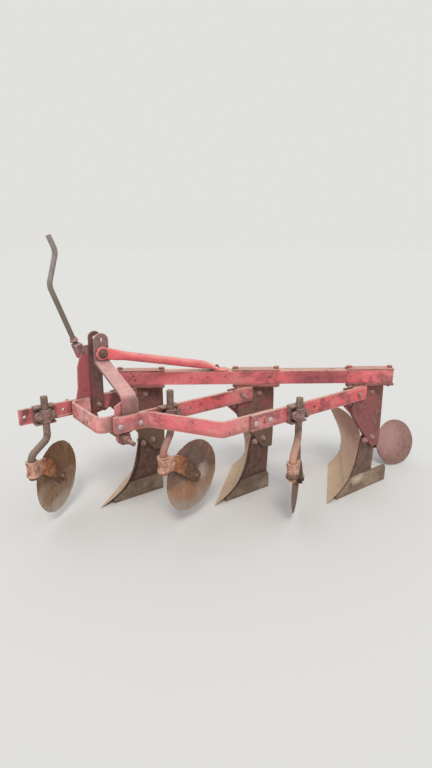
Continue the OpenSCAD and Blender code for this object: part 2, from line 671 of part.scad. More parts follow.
module coulter_clamp(b) color(steel) at_bottom(b) translate([stem_x[b], 0, bar_mid]) {
    h = bar_h / 2;
    y0 = bar_left - lip_grip;
    y1 = clamp_gap_y + lip_reach;
    // Saddle, with a notch in each lip for the stem
    difference() {
        translate([-saddle_w / 2, 0, 0]) rotate([90, 0, 90]) linear_extrude(saddle_w) polygon([
            [y0, h + lip_t], [y1, h + lip_t], [y1, h], [clamp_gap_y, h], [clamp_gap_y, -h], [y1, -h],
            [y1, -h - lip_t], [y0, -h - lip_t], [y0, -h], [bar_left, -h], [bar_left, h], [y0, h]]);
        translate([-(stem_d + lip_notch_play) / 2, clamp_gap_y, -h - lip_t - over])
            cube([stem_d + lip_notch_play, lip_reach + over, 2 * (h + lip_t + over)]);
    }
    // Yoke round the outer half of the stem, with a lug for each bolt
    yoke_y = stem_y + yoke_inset;
    difference() {
        union() {
            translate([0, stem_y, -yoke_h / 2]) cylinder(r = stem_d / 2 + yoke_wall, h = yoke_h);
            translate([-yoke_bolt_gap / 2, stem_y, -lug_r * 0.8])
                cube([yoke_bolt_gap, yoke_inset + lug_t, lug_r * 1.6]);
            for (s = [-1, 1])
                along_y(s * yoke_bolt_gap / 2, stem_y - 1, yoke_y + lug_t + lug_proud, 0, lug_r);
        }
        translate([-saddle_w, yoke_y - stem_d, -yoke_h]) cube([2 * saddle_w, stem_d, 2 * yoke_h]);
        translate([0, stem_y, -yoke_h]) cylinder(d = stem_d + 2 * seat_gap, h = 2 * yoke_h);
    }
    // Plate behind the bar, and the bolts
    translate([-yoke_bolt_gap / 2 - lug_r, leg_left - back_plate_t, -lug_r])
        cube([yoke_bolt_gap + 2 * lug_r, back_plate_t, 2 * lug_r]);
    nut_y = yoke_y + lug_t + lug_proud;
    for (s = [-1, 1]) {
        x = s * yoke_bolt_gap / 2;
        along_y(x, leg_left - back_plate_t - clamp_nut_t, nut_y + clamp_nut_t + 4, 0, clamp_rod_d / 2);
        along_y(x, nut_y - 1, nut_y + clamp_nut_t, 0, clamp_nut_r, $fn = 6);
        along_y(x, leg_left - back_plate_t - clamp_nut_t, leg_left - back_plate_t + 1, 0,
            clamp_nut_r, $fn = 6);
    }
}

module at_swivel(b) at_bottom(b) translate([
    stem_x[b] + stem_throw * cos(throw_angle[b]), stem_y + stem_throw * sin(throw_angle[b]),
    swivel_z[b]]) children();

module coulter_stem(b) color(rust) {
    back = [-stem_throw * cos(throw_angle[b]), -stem_throw * sin(throw_angle[b])];
    at_swivel(b) {
        bent_rod([[back.x, back.y, stem_up], [back.x, back.y, crank_high], [0, 0, crank_low],
            [0, 0, collar_h / 2 + 2]], stem_d, stem_bend_r);
        translate([0, 0, -collar_h / 2 - swivel_nut_t])
            cylinder(d = swivel_d, h = collar_h + swivel_nut_t + swivel_root);
        translate([0, 0, -collar_h / 2 - swivel_nut_t])
            cylinder(r = swivel_nut_r, h = swivel_nut_t - run_gap * 4, $fn = 6);
    }
}

axle_d = 30;
arm_side = 18;
arm_t = 12;
module at_arm(b) at_swivel(b) rotate([0, 0, 180 + arm_angle[b]]) children();
arm_boss_r = 30;
arm_boss_lip = 2;
arm_half_h = 36;
// Places where the arm's upper and lower edges touch the boss, as angles round the axle
arm_boss_high = 20;
arm_boss_low = 215;
axle_nut_t = 10;
axle_nut_r = 24;
axle_head_t = 8;
curve_steps = 7;
function quad_curve(a, b, c) = [for (i = [0 : curve_steps]) let(t = i / curve_steps)
    a * (1 - t) * (1 - t) + b * 2 * t * (1 - t) + c * t * t];
function boss_edge(angle) = [trail, -axle_drop] + arm_boss_r * [cos(angle), sin(angle)];
// Upper edge from the collar to the boss, then the lower edge back
function arm_outline() = concat([[-arm_half_h / 3, arm_half_h]],
    quad_curve([arm_half_h / 2, arm_half_h], [trail * 0.6, arm_half_h + 6], boss_edge(arm_boss_high)),
    quad_curve(boss_edge(arm_boss_low), [trail * 0.42, -axle_drop * 0.52], [arm_half_h * 0.8, -arm_half_h]),
    [[-arm_half_h / 3, -arm_half_h]]);
module coulter_arm(b) color("sienna") at_arm(b) {
    difference() {
        union() {
            translate([0, 0, -collar_h / 2]) cylinder(r = collar_waist_r, h = collar_h);
            for (z = [-collar_h / 2, collar_h / 2 - collar_flange_t]) translate([0, 0, z])
                cylinder(r = collar_r, h = collar_flange_t);
            side_plate(arm_outline(), -arm_side - arm_t, -arm_side);
            along_y(trail, -arm_side - arm_t - arm_boss_lip, -arm_side + arm_boss_lip,
                -axle_drop, arm_boss_r);
        }
        cylinder(d = swivel_d + 2 * run_gap, h = collar_h + 2 * over, center = true);
    }
    along_y(trail, -arm_side - arm_t - axle_nut_t, arm_side + axle_head_t - 2, -axle_drop, axle_d / 2);
    along_y(trail, arm_side, arm_side + axle_head_t, -axle_drop, axle_nut_r);
}

disc_hub_r = 46;
disc_hub_half = 12;
// The disc is ground thin towards its rim, over this width and to this edge
disc_grind = 18;
disc_edge_t = 1.5;
// One half of the disc's section, from its bore out to its rim: [radius, half thickness]
function disc_half() = [
    [axle_d / 2 + run_gap, disc_hub_half], [disc_hub_r, disc_hub_half], [disc_hub_r, disc_t / 2],
    [disc_d / 2 - disc_grind, disc_t / 2], [disc_d / 2, disc_edge_t / 2]];
module coulter_disc(b) color(rust) at_arm(b) translate([trail, 0, -axle_drop]) rotate([90, 0, 0])
    rotate_extrude($fn = 96) polygon(concat(disc_half(),
        [for (i = [len(disc_half()) - 1 : -1 : 0]) [disc_half()[i].x, -disc_half()[i].y]]));

// Rear wheel that runs in the furrow behind the last landside
wheel_x = -772;
wheel_y = -121;
wheel_rim_t = 8;
wheel_dish = 16;
wheel_hub_r = 42;
wheel_hub_len = 40;
wheel_axle_d = 30;
wheel_z = wheel_d / 2 * cos(wheel_lean) + wheel_rim_t / 2 * sin(wheel_lean);
module at_wheel() at_bottom(2) translate([wheel_x, wheel_y, wheel_z])
    rotate([wheel_lean - 90, 0, -wheel_toe]) children();
// Height of the crowned dish over its rim, at a radius
wheel_crown_steps = 8;
function wheel_crown(r) = wheel_dish * (1 - pow(2 * r / wheel_d, 2));
function wheel_skin(side) = [for (i = [0 : wheel_crown_steps]) let(r = wheel_d / 2 * i / wheel_crown_steps)
    [r, wheel_crown(r) + side * wheel_rim_t / 2]];
module rear_wheel() color(rust) at_wheel() difference() {
    union() {
        rotate_extrude($fn = 96) polygon(concat(wheel_skin(1),
            [for (i = [wheel_crown_steps : -1 : 0]) wheel_skin(-1)[i]]));
        translate([0, 0, -wheel_hub_len]) cylinder(r = wheel_hub_r, h = wheel_hub_len + wheel_dish);
    }
    translate([0, 0, -wheel_hub_len - over])
        cylinder(d = wheel_axle_d + 2 * run_gap, h = wheel_hub_len + over + 4);
}

wheel_arm_t = 14;
wheel_arm_h = 60;
wheel_arm_z = 92;
wheel_boss_len = 28;
wheel_boss_gap = 8;
// The arm's knee stands this far before the wheel's middle and to the right of it
wheel_knee = [162, -115];
module wheel_arm() color(steel) {
    y1 = frog_left - frog_t;
    // Middle of the boss on the arm's end, on the wheel's axle
    back = wheel_hub_len + wheel_boss_gap + wheel_boss_len / 2;
    boss = [wheel_x, wheel_y] - back * cos(wheel_lean) * [sin(wheel_toe), cos(wheel_toe)];
    at_bottom(2) translate([0, 0, wheel_arm_z]) linear_extrude(wheel_arm_h) polygon(strip([
        boss - [wheel_arm_t, wheel_arm_t * 1.2], [wheel_x, wheel_y] + wheel_knee,
        [leg_rear - 2, y1 - wheel_arm_t], [leg_rear + 90, y1 - wheel_arm_t]], wheel_arm_t));
    at_wheel() translate([0, 0, -back - wheel_boss_len / 2]) {
        cylinder(d = wheel_axle_d, h = back + wheel_boss_len / 2);
        cylinder(d = wheel_axle_d + 18, h = wheel_boss_len);
    }
}

// Brace from the frog to the back of the moldboard's wing
brace_z = 240;
brace_across = 285;
brace_d = 26;
brace_pad = 34;
brace_pad_t = 8;
brace_pad_steps = 4;
function pad_point(i, j, back) = let(
    across = brace_across + brace_pad * (2 * i / brace_pad_steps - 1),
    z = brace_z + brace_pad * (2 * j / brace_pad_steps - 1))
    face_point(across, z) + face_back(across, z) * back;
function pad_grid(back) =
    [for (j = [0 : brace_pad_steps]) [for (i = [0 : brace_pad_steps]) pad_point(i, j, back)]];
module brace(b) color(steel) at_bottom(b) {
    y1 = frog_left - frog_t;
    back = board_t + curve_gap;
    p = face_point(brace_across, brace_z) + face_back(brace_across, brace_z) * (back + brace_d / 2 + 1);
    rod([leg_rear + 34, y1 - 6, brace_z], p, brace_d);
    along_y(leg_rear + 34, y1 - 12, y1, brace_z, 26);
    skin_plate(pad_grid(back), pad_grid(back + brace_pad_t));
}

// The model is moved so that its origin is at the middle of its outer box, on the ground
front_x = stem_x[0] + stem_throw * cos(throw_angle[0]) + collar_r;
rear_x = -2 * spacing + wheel_x - wheel_d / 2 * cos(wheel_toe);
left_y = 2 * cut_w + stem_y + stem_throw * sin(throw_angle[2]) + collar_r;
right_y = -wing_reach;
origin_x = (front_x + rear_x) / 2;
origin_y = (left_y + right_y) / 2;

module in_frame() translate([-origin_x, -origin_y, 0]) children();

in_frame() main_beam();
for (b = [0 : 2]) in_frame() {
    beam_clamp(b);
    leg_bracket(b);
    leg(b);
    frog(b);
    brace(b);
    share(b);
    moldboard(b);
    landside(b);
    frame_bar(b);
    coulter_clamp(b);
    coulter_stem(b);
    coulter_arm(b);
    coulter_disc(b);
}
in_frame() bent_bar_left();
in_frame() bent_bar_right();
in_frame() hitch_plate_left();
in_frame() hitch_plate_right();
in_frame() cross_shaft();
in_frame() mast_left();
in_frame() mast_right();
in_frame() stay_tube();
in_frame() screw_bracket();
in_frame() hand_crank();
in_frame() wheel_arm();
in_frame() rear_wheel();
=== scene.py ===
"""Looks of the moldboard plough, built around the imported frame.

Lengths are metres where a comment doesn't say millimetres. X is forward, Y left, Z up.
"""
import json
import math
import random
from functools import cache, partial

import bmesh
import bpy
from mathutils import Matrix, Vector


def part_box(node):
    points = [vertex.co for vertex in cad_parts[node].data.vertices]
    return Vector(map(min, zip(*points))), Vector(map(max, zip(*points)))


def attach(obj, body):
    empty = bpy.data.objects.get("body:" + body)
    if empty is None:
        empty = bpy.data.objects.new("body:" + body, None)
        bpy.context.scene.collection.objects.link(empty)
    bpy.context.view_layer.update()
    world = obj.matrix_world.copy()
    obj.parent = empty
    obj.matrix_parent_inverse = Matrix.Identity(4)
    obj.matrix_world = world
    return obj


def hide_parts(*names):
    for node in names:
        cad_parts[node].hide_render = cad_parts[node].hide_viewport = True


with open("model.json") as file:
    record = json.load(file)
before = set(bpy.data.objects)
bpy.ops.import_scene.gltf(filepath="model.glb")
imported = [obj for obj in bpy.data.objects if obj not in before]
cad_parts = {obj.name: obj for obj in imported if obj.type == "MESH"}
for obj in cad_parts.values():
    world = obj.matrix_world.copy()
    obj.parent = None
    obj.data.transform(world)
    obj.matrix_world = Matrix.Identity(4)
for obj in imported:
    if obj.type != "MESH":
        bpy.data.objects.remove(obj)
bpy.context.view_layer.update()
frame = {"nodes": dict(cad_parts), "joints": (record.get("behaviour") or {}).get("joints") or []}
nodes = frame["nodes"]
joints = {joint["name"]: joint for joint in frame["joints"]}
random.seed(7)

# Places, all taken from the frame
LEFT = (0, 1, 0)
RIGHT = (0, -1, 0)
UP = (0, 0, 1)
BOTTOMS = (1, 2, 3)
JOINT_DISC = "disc_spin_%d"
JOINT_SWIVEL = "swivel_%d"
JOINT_WHEEL = "rear_wheel_spin"
# How far the tip of a share's working face lies ahead of the share's solid
TIP_AHEAD = 0.0045
# How far the pale clod lies behind the front of the long landside
CLOD_BACK = 0.17


def joint_at(name):
    return Vector(joints[name]["pos_m"])


def tip(k):
    """The tip of a bottom's share, on the furrow wall's plane."""
    return Vector((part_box(f"share_{k}")[1].x + TIP_AHEAD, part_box(f"landside_{k}")[1].y, 0.0))


def local(k, x, y, z):
    """A place given from the tip of bottom k, in millimetres as in the drawing."""
    return tip(k) + Vector((x, y, z)) / 1000


def along_beam(share):
    """A point on the beam's middle line, at a share of its length from the front."""
    low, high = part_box("main_beam")
    return Vector((high.x + (low.x - high.x) * share, low.y + (high.y - low.y) * share, (low.z + high.z) / 2))


def landside_clod():
    """The pale clod of soil on the long landside, under the frog."""
    front_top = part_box("landside_3")[1]
    return Vector((front_top.x - CLOD_BACK, front_top.y, front_top.z))


def behind_bar_end():
    """Where the right bent bar runs behind the front end of the left one: the middle of a patch of painted
    shade.
    """
    low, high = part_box("bent_bar_right")
    return Vector((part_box("bent_bar_left")[1].x, high.y, (low.z + high.z) / 2))


def rgb(red, green, blue):
    """A display colour of 0 to 255 as the linear colour that a shader takes."""
    def linear(v):
        v /= 255
        return v / 12.92 if v <= 0.04045 else ((v + 0.055) / 1.055) ** 2.4
    return (linear(red), linear(green), linear(blue), 1.0)


def add_object(name, data):
    obj = bpy.data.objects.new(name, data)
    bpy.context.scene.collection.objects.link(obj)
    return obj


def aim(obj, at, way):
    """Puts a camera or lamp at a place, looking a way."""
    obj.location = at
    obj.rotation_mode = "QUATERNION"
    obj.rotation_quaternion = way.to_track_quat("-Z", "Y")


# Camera
CAMERA_AT = Vector((1.811, 2.221, 1.464))
CAMERA_PLAN = Vector((-0.5996, -0.8003))
CAMERA_PITCH = math.radians(16.35)
SENSOR = 36.0
FOCAL_PIXELS = 530
LONG_SIDE_PIXELS = 768


def make_camera():
    data = bpy.data.cameras.new("camera")
    data.sensor_width = SENSOR
    data.lens = FOCAL_PIXELS / LONG_SIDE_PIXELS * SENSOR
    camera = add_object("camera", data)
    level = CAMERA_PLAN.normalized() * math.cos(CAMERA_PITCH)
    aim(camera, CAMERA_AT, Vector((level.x, level.y, -math.sin(CAMERA_PITCH))))
    bpy.context.scene.camera = camera


# Materials: tones that several finishes share
VEIL = rgb(128, 86, 84)
STAIN = rgb(98, 62, 64)
DARKENING_TONE = rgb(138, 100, 88)
PALE_TOP = rgb(222, 188, 164)
DARK_BROWN = rgb(76, 54, 48)
RUST = rgb(138, 92, 74)
DUST = rgb(186, 158, 132)
SPECULAR = 0.3
BUMP_STRENGTH = 0.7
# Samples of the shader nodes that look around a point, and how far they look for a corner
AROUND_SAMPLES = 6
CREVICE_REACH = 0.035
# Sockets of a mix node that are known by number only
MIX_FACTOR = 0
MIX_A = 6
MIX_B = 7
MIX_COLOUR = 2


class Graph:
    """A material's nodes, with the sockets that the finishes below share."""

    def __init__(self, seed):
        self.seed = seed
        self.material = bpy.data.materials.new("finish")
        self.material.use_nodes = True
        self.tree = self.material.node_tree
        self.tree.nodes.clear()
        self.new = self.tree.nodes.new
        self.shader = self.new("ShaderNodeBsdfPrincipled")
        output = self.new("ShaderNodeOutputMaterial")
        self.tree.links.new(self.shader.outputs["BSDF"], output.inputs["Surface"])
        self.place = self.new("ShaderNodeTexCoord").outputs["Object"]
        self.normal = self.new("ShaderNodeNewGeometry").outputs["Normal"]

    def feed(self, node, inputs):
        """Sets a node's inputs to values, or links them to other nodes' sockets."""
        for name, value in inputs.items():
            if isinstance(value, bpy.types.NodeSocket):
                self.tree.links.new(value, node.inputs[name])
            else:
                node.inputs[name].default_value = value
        return node

    def math(self, operation, a, b=0.0, clamp=False):
        node = self.new("ShaderNodeMath")
        node.operation = operation
        node.use_clamp = clamp
        return self.feed(node, {0: a, 1: b}).outputs[0]

    def times(self, a, b):
        return self.math("MULTIPLY", a, b)

    def plus(self, a, b, clamp=False):
        return self.math("ADD", a, b, clamp)

    def minus(self, a, b):
        return self.math("SUBTRACT", a, b)

    def stretched(self, scale):
        """The object's coordinates, scaled by three factors."""
        return self.feed(self.new("ShaderNodeMapping"), {"Vector": self.place, "Scale": scale}).outputs[0]

    def noise(self, shift, scale, detail=4.0, rough=0.6, distort=0.0, place=None):
        """A noise of its own, by a shift of the material's seed."""
        node = self.new("ShaderNodeTexNoise")
        node.noise_dimensions = "4D"
        return self.feed(node, {"Vector": place or self.place, "W": self.seed + shift, "Scale": scale,
                                "Detail": detail, "Roughness": rough, "Distortion": distort}).outputs["Fac"]

    def step(self, value, low, high, to_low=0.0, to_high=1.0):
        node = self.new("ShaderNodeMapRange")
        node.interpolation_type = "SMOOTHSTEP"
        return self.feed(node, {"Value": value, "From Min": low, "From Max": high, "To Min": to_low,
                                "To Max": to_high}).outputs[0]

    def ramp(self, value, start, full):
        """0 at one value, 1 at another, which may be the lower one."""
        if start < full:
            return self.step(value, start, full)
        return self.step(value, full, start, 1.0, 0.0)

    def sway(self, noise, amount):
        """A noise as a shift by up to an amount either way, which frays the edge of a tone."""
        return self.step(noise, 0.3, 0.7, -amount, amount)

    def mix(self, factor, a, b):
        node = self.new("ShaderNodeMix")
        node.data_type = "RGBA"
        return self.feed(node, {MIX_FACTOR: factor, MIX_A: a, MIX_B: b}).outputs[MIX_COLOUR]

    def z_of(self, vector):
        return self.feed(self.new("ShaderNodeSeparateXYZ"), {0: vector}).outputs["Z"]

    def up(self):
        """How far a surface faces the sky, from 0 to 1."""
        return self.step(self.z_of(self.normal), 0.15, 0.9)

    def height(self, start, full, base=0.0):
        """0 at one height on the object, 1 at another, both from a base."""
        return self.ramp(self.z_of(self.place), base + start, base + full)

    def reach(self, middle, start, full):
        """0 at one distance from a point, 1 at another."""
        node = self.new("ShaderNodeVectorMath")
        node.operation = "DISTANCE"
        return self.ramp(self.feed(node, {0: self.place, 1: middle}).outputs["Value"], start, full)

    def edges(self, radius):
        """1 on the edges of a piece, 0 on its flats."""
        bevel = self.new("ShaderNodeBevel")
        bevel.samples = AROUND_SAMPLES
        rounded = self.feed(bevel, {"Radius": radius}).outputs[0]
        dot = self.new("ShaderNodeVectorMath")
        dot.operation = "DOT_PRODUCT"
        alike = self.feed(dot, {0: rounded, 1: self.normal}).outputs["Value"]
        return self.step(self.minus(1.0, alike), 0.01, 0.2)

    def deepened(self, colour, strength):
        """A colour darkened deep in the corners where pieces meet: painted shade, and dirt that gathers
        there.
        """
        node = self.new("ShaderNodeAmbientOcclusion")
        node.samples = AROUND_SAMPLES
        clear = self.feed(node, {"Distance": CREVICE_REACH}).outputs["AO"]
        return self.mix(self.times(self.step(clear, 0.35, 0.85, 1.0, 0.0), strength), colour, DARK_BROWN)

    def patched(self, colour, patches, wave, strength=0.8):
        """Stains, clods of soil, painted light and painted shade on a colour, each given as (middle, full
        within, none beyond, tone).
        """
        for middle, near, far, tone in patches:
            share = self.plus(self.reach(middle, far, near), wave, True)
            colour = self.mix(self.times(share, strength), colour, tone)
        return colour

    def finish(self, colour, roughness, height, distance):
        bump = self.feed(self.new("ShaderNodeBump"),
                         {"Strength": BUMP_STRENGTH, "Distance": distance, "Height": height})
        self.feed(self.shader, {"Base Color": colour, "Roughness": roughness, "Specular IOR Level": SPECULAR,
                                "Normal": bump.outputs[0]})
        return self.material


def painted(seed, fresh, weathered, top=PALE_TOP, chips=0.58, veil=0.45, stains=0.6, darkening_heights=None, patches=()):
    """Old paint: fresh in places, weathered in others, bleached and painted lighter on top, stained, chipped
    to rust at edges.

    darkening_heights is (from, to), the heights between which a piece gets darker.
    """
    g = Graph(seed)
    broad = g.noise(0, 3.2, 3.0, 0.55)
    mid = g.noise(1, 11.0, 7.0, 0.62, 0.3)
    spots = g.noise(3, 30.0, 9.0, 0.7, 0.3)
    specks = g.noise(4, 105.0, 3.0, 0.55, 0.5)
    grain = g.noise(5, 240.0, 4.0, 0.7)
    blots = g.noise(7, 6.5, 9.0, 0.68, 0.5)
    runs = g.noise(9, 16.0, 6.0, 0.6, place=g.stretched((1.0, 1.0, 0.1)))
    scrapes = g.noise(11, 22.0, 5.0, 0.65, place=g.stretched((0.12, 0.5, 2.2)))
    paint = g.mix(g.step(broad, 0.36, 0.66), fresh, weathered)
    paint = g.mix(g.step(mid, 0.5, 0.7, 0.0, veil), paint, VEIL)
    paint = g.mix(g.step(runs, 0.52, 0.72, 0.0, 0.35), paint, VEIL)
    paint = g.mix(g.step(scrapes, 0.6, 0.68, 0.0, 0.5), paint, top)
    paint = g.mix(g.step(blots, 0.51, 0.58, 0.0, stains), paint, STAIN)
    paint = g.patched(paint, patches, g.sway(mid, 0.45), 0.6)
    if darkening_heights is not None:
        darkening_mask = g.plus(g.height(*darkening_heights), g.sway(spots, 0.4), True)
        paint = g.mix(g.times(darkening_mask, 0.5), paint, DARKENING_TONE)
    # Paler on top: the paint's bleaching, and painted light where the sky falls on it
    bleach_and_top_light = g.times(g.up(), g.step(mid, 0.3, 0.6, 0.95, 0.6))
    paint = g.mix(bleach_and_top_light, paint, top)
    # Paler at the edges: worn paint, and a painted highlight where the edges catch the light
    edge = g.edges(0.005)
    paint = g.mix(g.times(edge, 0.62), paint, top)
    paint = g.deepened(paint, 0.6)
    worn = g.plus(spots, g.plus(g.times(edge, 0.11), g.step(broad, 0.45, 0.8, -0.05, 0.06)))
    bare = g.step(worn, chips, chips + 0.05)
    flecks = g.step(g.plus(specks, g.step(mid, 0.35, 0.7, -0.07, 0.08)), 0.615, 0.655)
    gone = g.plus(bare, flecks, True)
    metal = g.mix(g.step(grain, 0.35, 0.65), DARK_BROWN, RUST)
    colour = g.mix(g.times(gone, 0.85), paint, metal)
    roughness = g.plus(g.step(bare, 0.0, 1.0, 0.55, 0.86), g.step(grain, 0.3, 0.7, -0.04, 0.06))
    return g.finish(colour, roughness, g.minus(g.times(grain, 0.35), gone), 0.0007)


def rusted(seed, dark, light, accent, accent_level, top, left=None, left_above=None, pitted=0.4, below=None,
           patches=()):
    """Rust in three tones, paler on top, with the remains of a paint where one is given.

    left is (colour of the paint, level of the noise above which it stays), left_above the heights between
    which more of it stays, and below is (height of a change, its depth, colour under it).
    """
    g = Graph(seed)
    broad = g.noise(0, 7.0, 4.0, 0.6)
    spots = g.noise(2, 34.0, 8.0, 0.7, 0.4)
    grain = g.noise(4, 190.0, 5.0, 0.72)
    pits = g.noise(6, 85.0, 3.0, 0.5)
    wave = g.sway(spots, 0.25)
    colour = g.mix(g.step(spots, 0.36, 0.62), dark, light)
    colour = g.mix(g.step(broad, accent_level, accent_level + 0.14), colour, accent)
    if below is not None:
        z, depth, under = below
        colour = g.mix(g.times(g.plus(g.height(z, z - depth), wave, True), 0.85), colour, under)
    colour = g.patched(colour, patches, wave)
    colour = g.mix(g.step(grain, 0.45, 0.75, 0.0, 0.35), colour, dark)
    sunk = g.step(pits, 0.3, 0.4)
    colour = g.mix(g.times(g.minus(1.0, sunk), pitted), colour, dark)
    height = g.plus(g.times(grain, 0.6), sunk)
    if left is not None:
        paint, limit = left
        level = g.noise(8, 17.0, 9.0, 0.7, 0.5)
        if left_above is not None:
            level = g.plus(level, g.times(g.minus(g.height(*left_above), 1.0), 0.25))
        kept = g.step(level, limit, limit + 0.07)
        colour = g.mix(g.times(kept, 0.8), colour, paint)
        height = g.plus(height, g.times(kept, 0.6))
    colour = g.mix(g.times(g.up(), g.step(spots, 0.3, 0.6, 0.9, 0.55)), colour, top)
    # Paler at the edges: wear, and a painted highlight where the edges catch the light
    colour = g.mix(g.times(g.edges(0.003), 0.45), colour, top)
    return g.finish(g.deepened(colour, 0.5), g.step(grain, 0.2, 0.8, 0.72, 0.93), height, 0.0009)


def scoured(seed, low, mid, high, heights, rust, streaks=0.35, patch=None, patches=()):
    """Steel that the soil has worn smooth and the weather has browned, in three tones up the piece.

    patch is the tone of broad patches all over.
    """
    g = Graph(seed)
    broad = g.noise(0, 5.0, 4.0, 0.55)
    scratches = g.noise(2, 60.0, 5.0, 0.6, place=g.stretched((0.22, 0.6, 1.6)))
    fine = g.noise(3, 150.0, 3.0, 0.6, place=g.stretched((0.1, 0.5, 2.0)))
    grain = g.noise(4, 210.0, 5.0, 0.7)
    spots = g.noise(6, 24.0, 8.0, 0.7, 0.3)
    wave = g.sway(broad, 0.35)
    a, b, c = heights
    colour = g.mix(g.plus(g.height(a, b), wave, True), low, mid)
    colour = g.mix(g.plus(g.height(b, c), g.times(wave, 0.6), True), colour, high)
    if patch is not None:
        colour = g.mix(g.step(broad, 0.48, 0.58, 0.0, 0.7), colour, patch)
    colour = g.patched(colour, patches, g.sway(spots, 0.35))
    colour = g.mix(g.step(scratches, 0.5, 0.72, 0.0, streaks), colour, rust)
    colour = g.mix(g.step(fine, 0.6, 0.7, 0.0, 0.3), colour, low)
    colour = g.mix(g.step(spots, 0.57, 0.66, 0.0, 0.55), colour, rust)
    colour = g.mix(g.times(g.edges(0.003), 0.5), colour, low)
    height = g.plus(g.times(grain, 0.5), g.times(scratches, 0.4))
    return g.finish(g.deepened(colour, 0.4), g.step(grain, 0.2, 0.8, 0.55, 0.78), height, 0.0006)


# A disc's tones, by height from its axle, and the distance from it where the rim is worn
DISC_UPPER = (-0.07, 0.02)
BAND_UNDER = (0.0, -0.035)
BAND_ABOVE = (-0.14, -0.09)
RIM_WORN = (0.15, 0.175)


def disc_finish(seed, middle, upper, lower, band, rim, patches=()):
    """A coulter disc: a tone above, a band of rust under the axle, a tone below, and a worn rim."""
    g = Graph(seed)
    broad = g.noise(0, 9.0, 6.0, 0.62, 0.3)
    spots = g.noise(2, 36.0, 8.0, 0.7, 0.4)
    grain = g.noise(4, 200.0, 5.0, 0.72)
    scratches = g.noise(5, 48.0, 5.0, 0.6, place=g.stretched((1.0, 1.0, 0.2)))
    wave = g.sway(broad, 0.35)
    shade = g.plus(g.height(*DISC_UPPER, middle.z), wave, True)
    colour = g.mix(shade, lower, upper)
    under = g.plus(g.height(*BAND_UNDER, middle.z), wave, True)
    above = g.plus(g.height(*BAND_ABOVE, middle.z), wave, True)
    colour = g.mix(g.times(g.times(under, above), 0.8), colour, band)
    colour = g.mix(g.step(spots, 0.5, 0.66, 0.0, 0.5), colour, DARK_BROWN)
    colour = g.patched(colour, patches, g.sway(spots, 0.4))
    scratched = g.times(g.step(scratches, 0.54, 0.66), g.minus(1.0, shade))
    colour = g.mix(g.times(scratched, 0.5), colour, rim)
    worn = g.times(g.reach(middle, *RIM_WORN), g.step(spots, 0.35, 0.55, 1.0, 0.3))
    colour = g.mix(worn, colour, g.mix(shade, rim, RUST))
    roughness = g.step(grain, 0.2, 0.8, 0.72, 0.92)
    return g.finish(g.deepened(colour, 0.4), roughness, g.plus(grain, spots), 0.0009)


# A coulter stem's tones, its painted highlight on top, and the heights above its swivel between which it
# takes its foot's tone
STEM_TONES = (rgb(98, 80, 71), rgb(144, 119, 106))
STEM_PAINTED_HIGHLIGHT = rgb(172, 148, 130)
STEM_FOOT = (0.16, 0.09)


def stem_finish(seed, middle, foot):
    """A coulter stem: browned steel, another tone where it bends out to the swivel, and a painted highlight
    on top.
    """
    g = Graph(seed)
    spots = g.noise(0, 34.0, 8.0, 0.7, 0.4)
    grain = g.noise(4, 190.0, 5.0, 0.72)
    colour = g.mix(g.step(spots, 0.36, 0.62), *STEM_TONES)
    low = g.plus(g.height(*STEM_FOOT, middle.z), g.sway(spots, 0.2), True)
    colour = g.mix(g.times(low, 0.9), colour, foot)
    # Painted highlight on the faces that look up
    colour = g.mix(g.times(g.up(), 0.5), colour, STEM_PAINTED_HIGHLIGHT)
    colour = g.mix(g.step(grain, 0.5, 0.75, 0.0, 0.4), colour, DARK_BROWN)
    return g.finish(g.deepened(colour, 0.5), g.step(grain, 0.2, 0.8, 0.72, 0.92), grain, 0.0009)


# A coulter arm's tones at its collar, along the casting and at the axle, with the distances between them
ARM_COLLAR = (rgb(160, 110, 90), rgb(214, 172, 150))
ARM_MIDDLE = (rgb(116, 76, 54), rgb(182, 118, 76))
ARM_END = (rgb(84, 66, 54), rgb(122, 90, 70))
ARM_UNDERSIDE = rgb(72, 56, 50)
ARM_TOP = rgb(224, 192, 170)
MIDDLE_FROM = (0.035, 0.075)
END_FROM = (0.10, 0.19)
UNDERSIDE_FROM = (0.005, -0.03)


def arm_finish(seed, middle, foot):
    """A coulter's arm: bright rust at the collar, orange along the casting, soil and grease at the axle."""
    g = Graph(seed)
    broad = g.noise(0, 14.0, 5.0, 0.6, 0.3)
    spots = g.noise(4, 42.0, 8.0, 0.7, 0.4)
    grain = g.noise(8, 170.0, 5.0, 0.72)
    blend = g.step(spots, 0.38, 0.6)
    pink, orange, far = (g.mix(blend, *tones) for tones in (ARM_COLLAR, ARM_MIDDLE, ARM_END))
    wave = g.sway(broad, 0.3)
    colour = g.mix(g.plus(g.reach(middle, *MIDDLE_FROM), wave, True), pink, orange)
    colour = g.mix(g.plus(g.reach(middle, *END_FROM), wave, True), colour, far)
    colour = g.mix(g.step(grain, 0.5, 0.72, 0.0, 0.45), colour, DARK_BROWN)
    if foot:
        low = g.plus(g.height(*UNDERSIDE_FROM, middle.z), g.times(wave, 0.5), True)
        colour = g.mix(g.times(low, foot), colour, ARM_UNDERSIDE)
    colour = g.mix(g.times(g.up(), 0.6), colour, ARM_TOP)
    roughness = g.step(grain, 0.2, 0.8, 0.75, 0.93)
    return g.finish(g.deepened(colour, 0.6), roughness, g.plus(grain, spots), 0.0012)


# Middles of two patches, from the axles: painted light on the rear wheel's dish, and a pale stain on the
# second disc
WHEEL_PAINTED_LIGHT = Vector((0.075, 0.0, 0.035))
DISC_SOIL = Vector((-0.075, 0.0, 0.0))
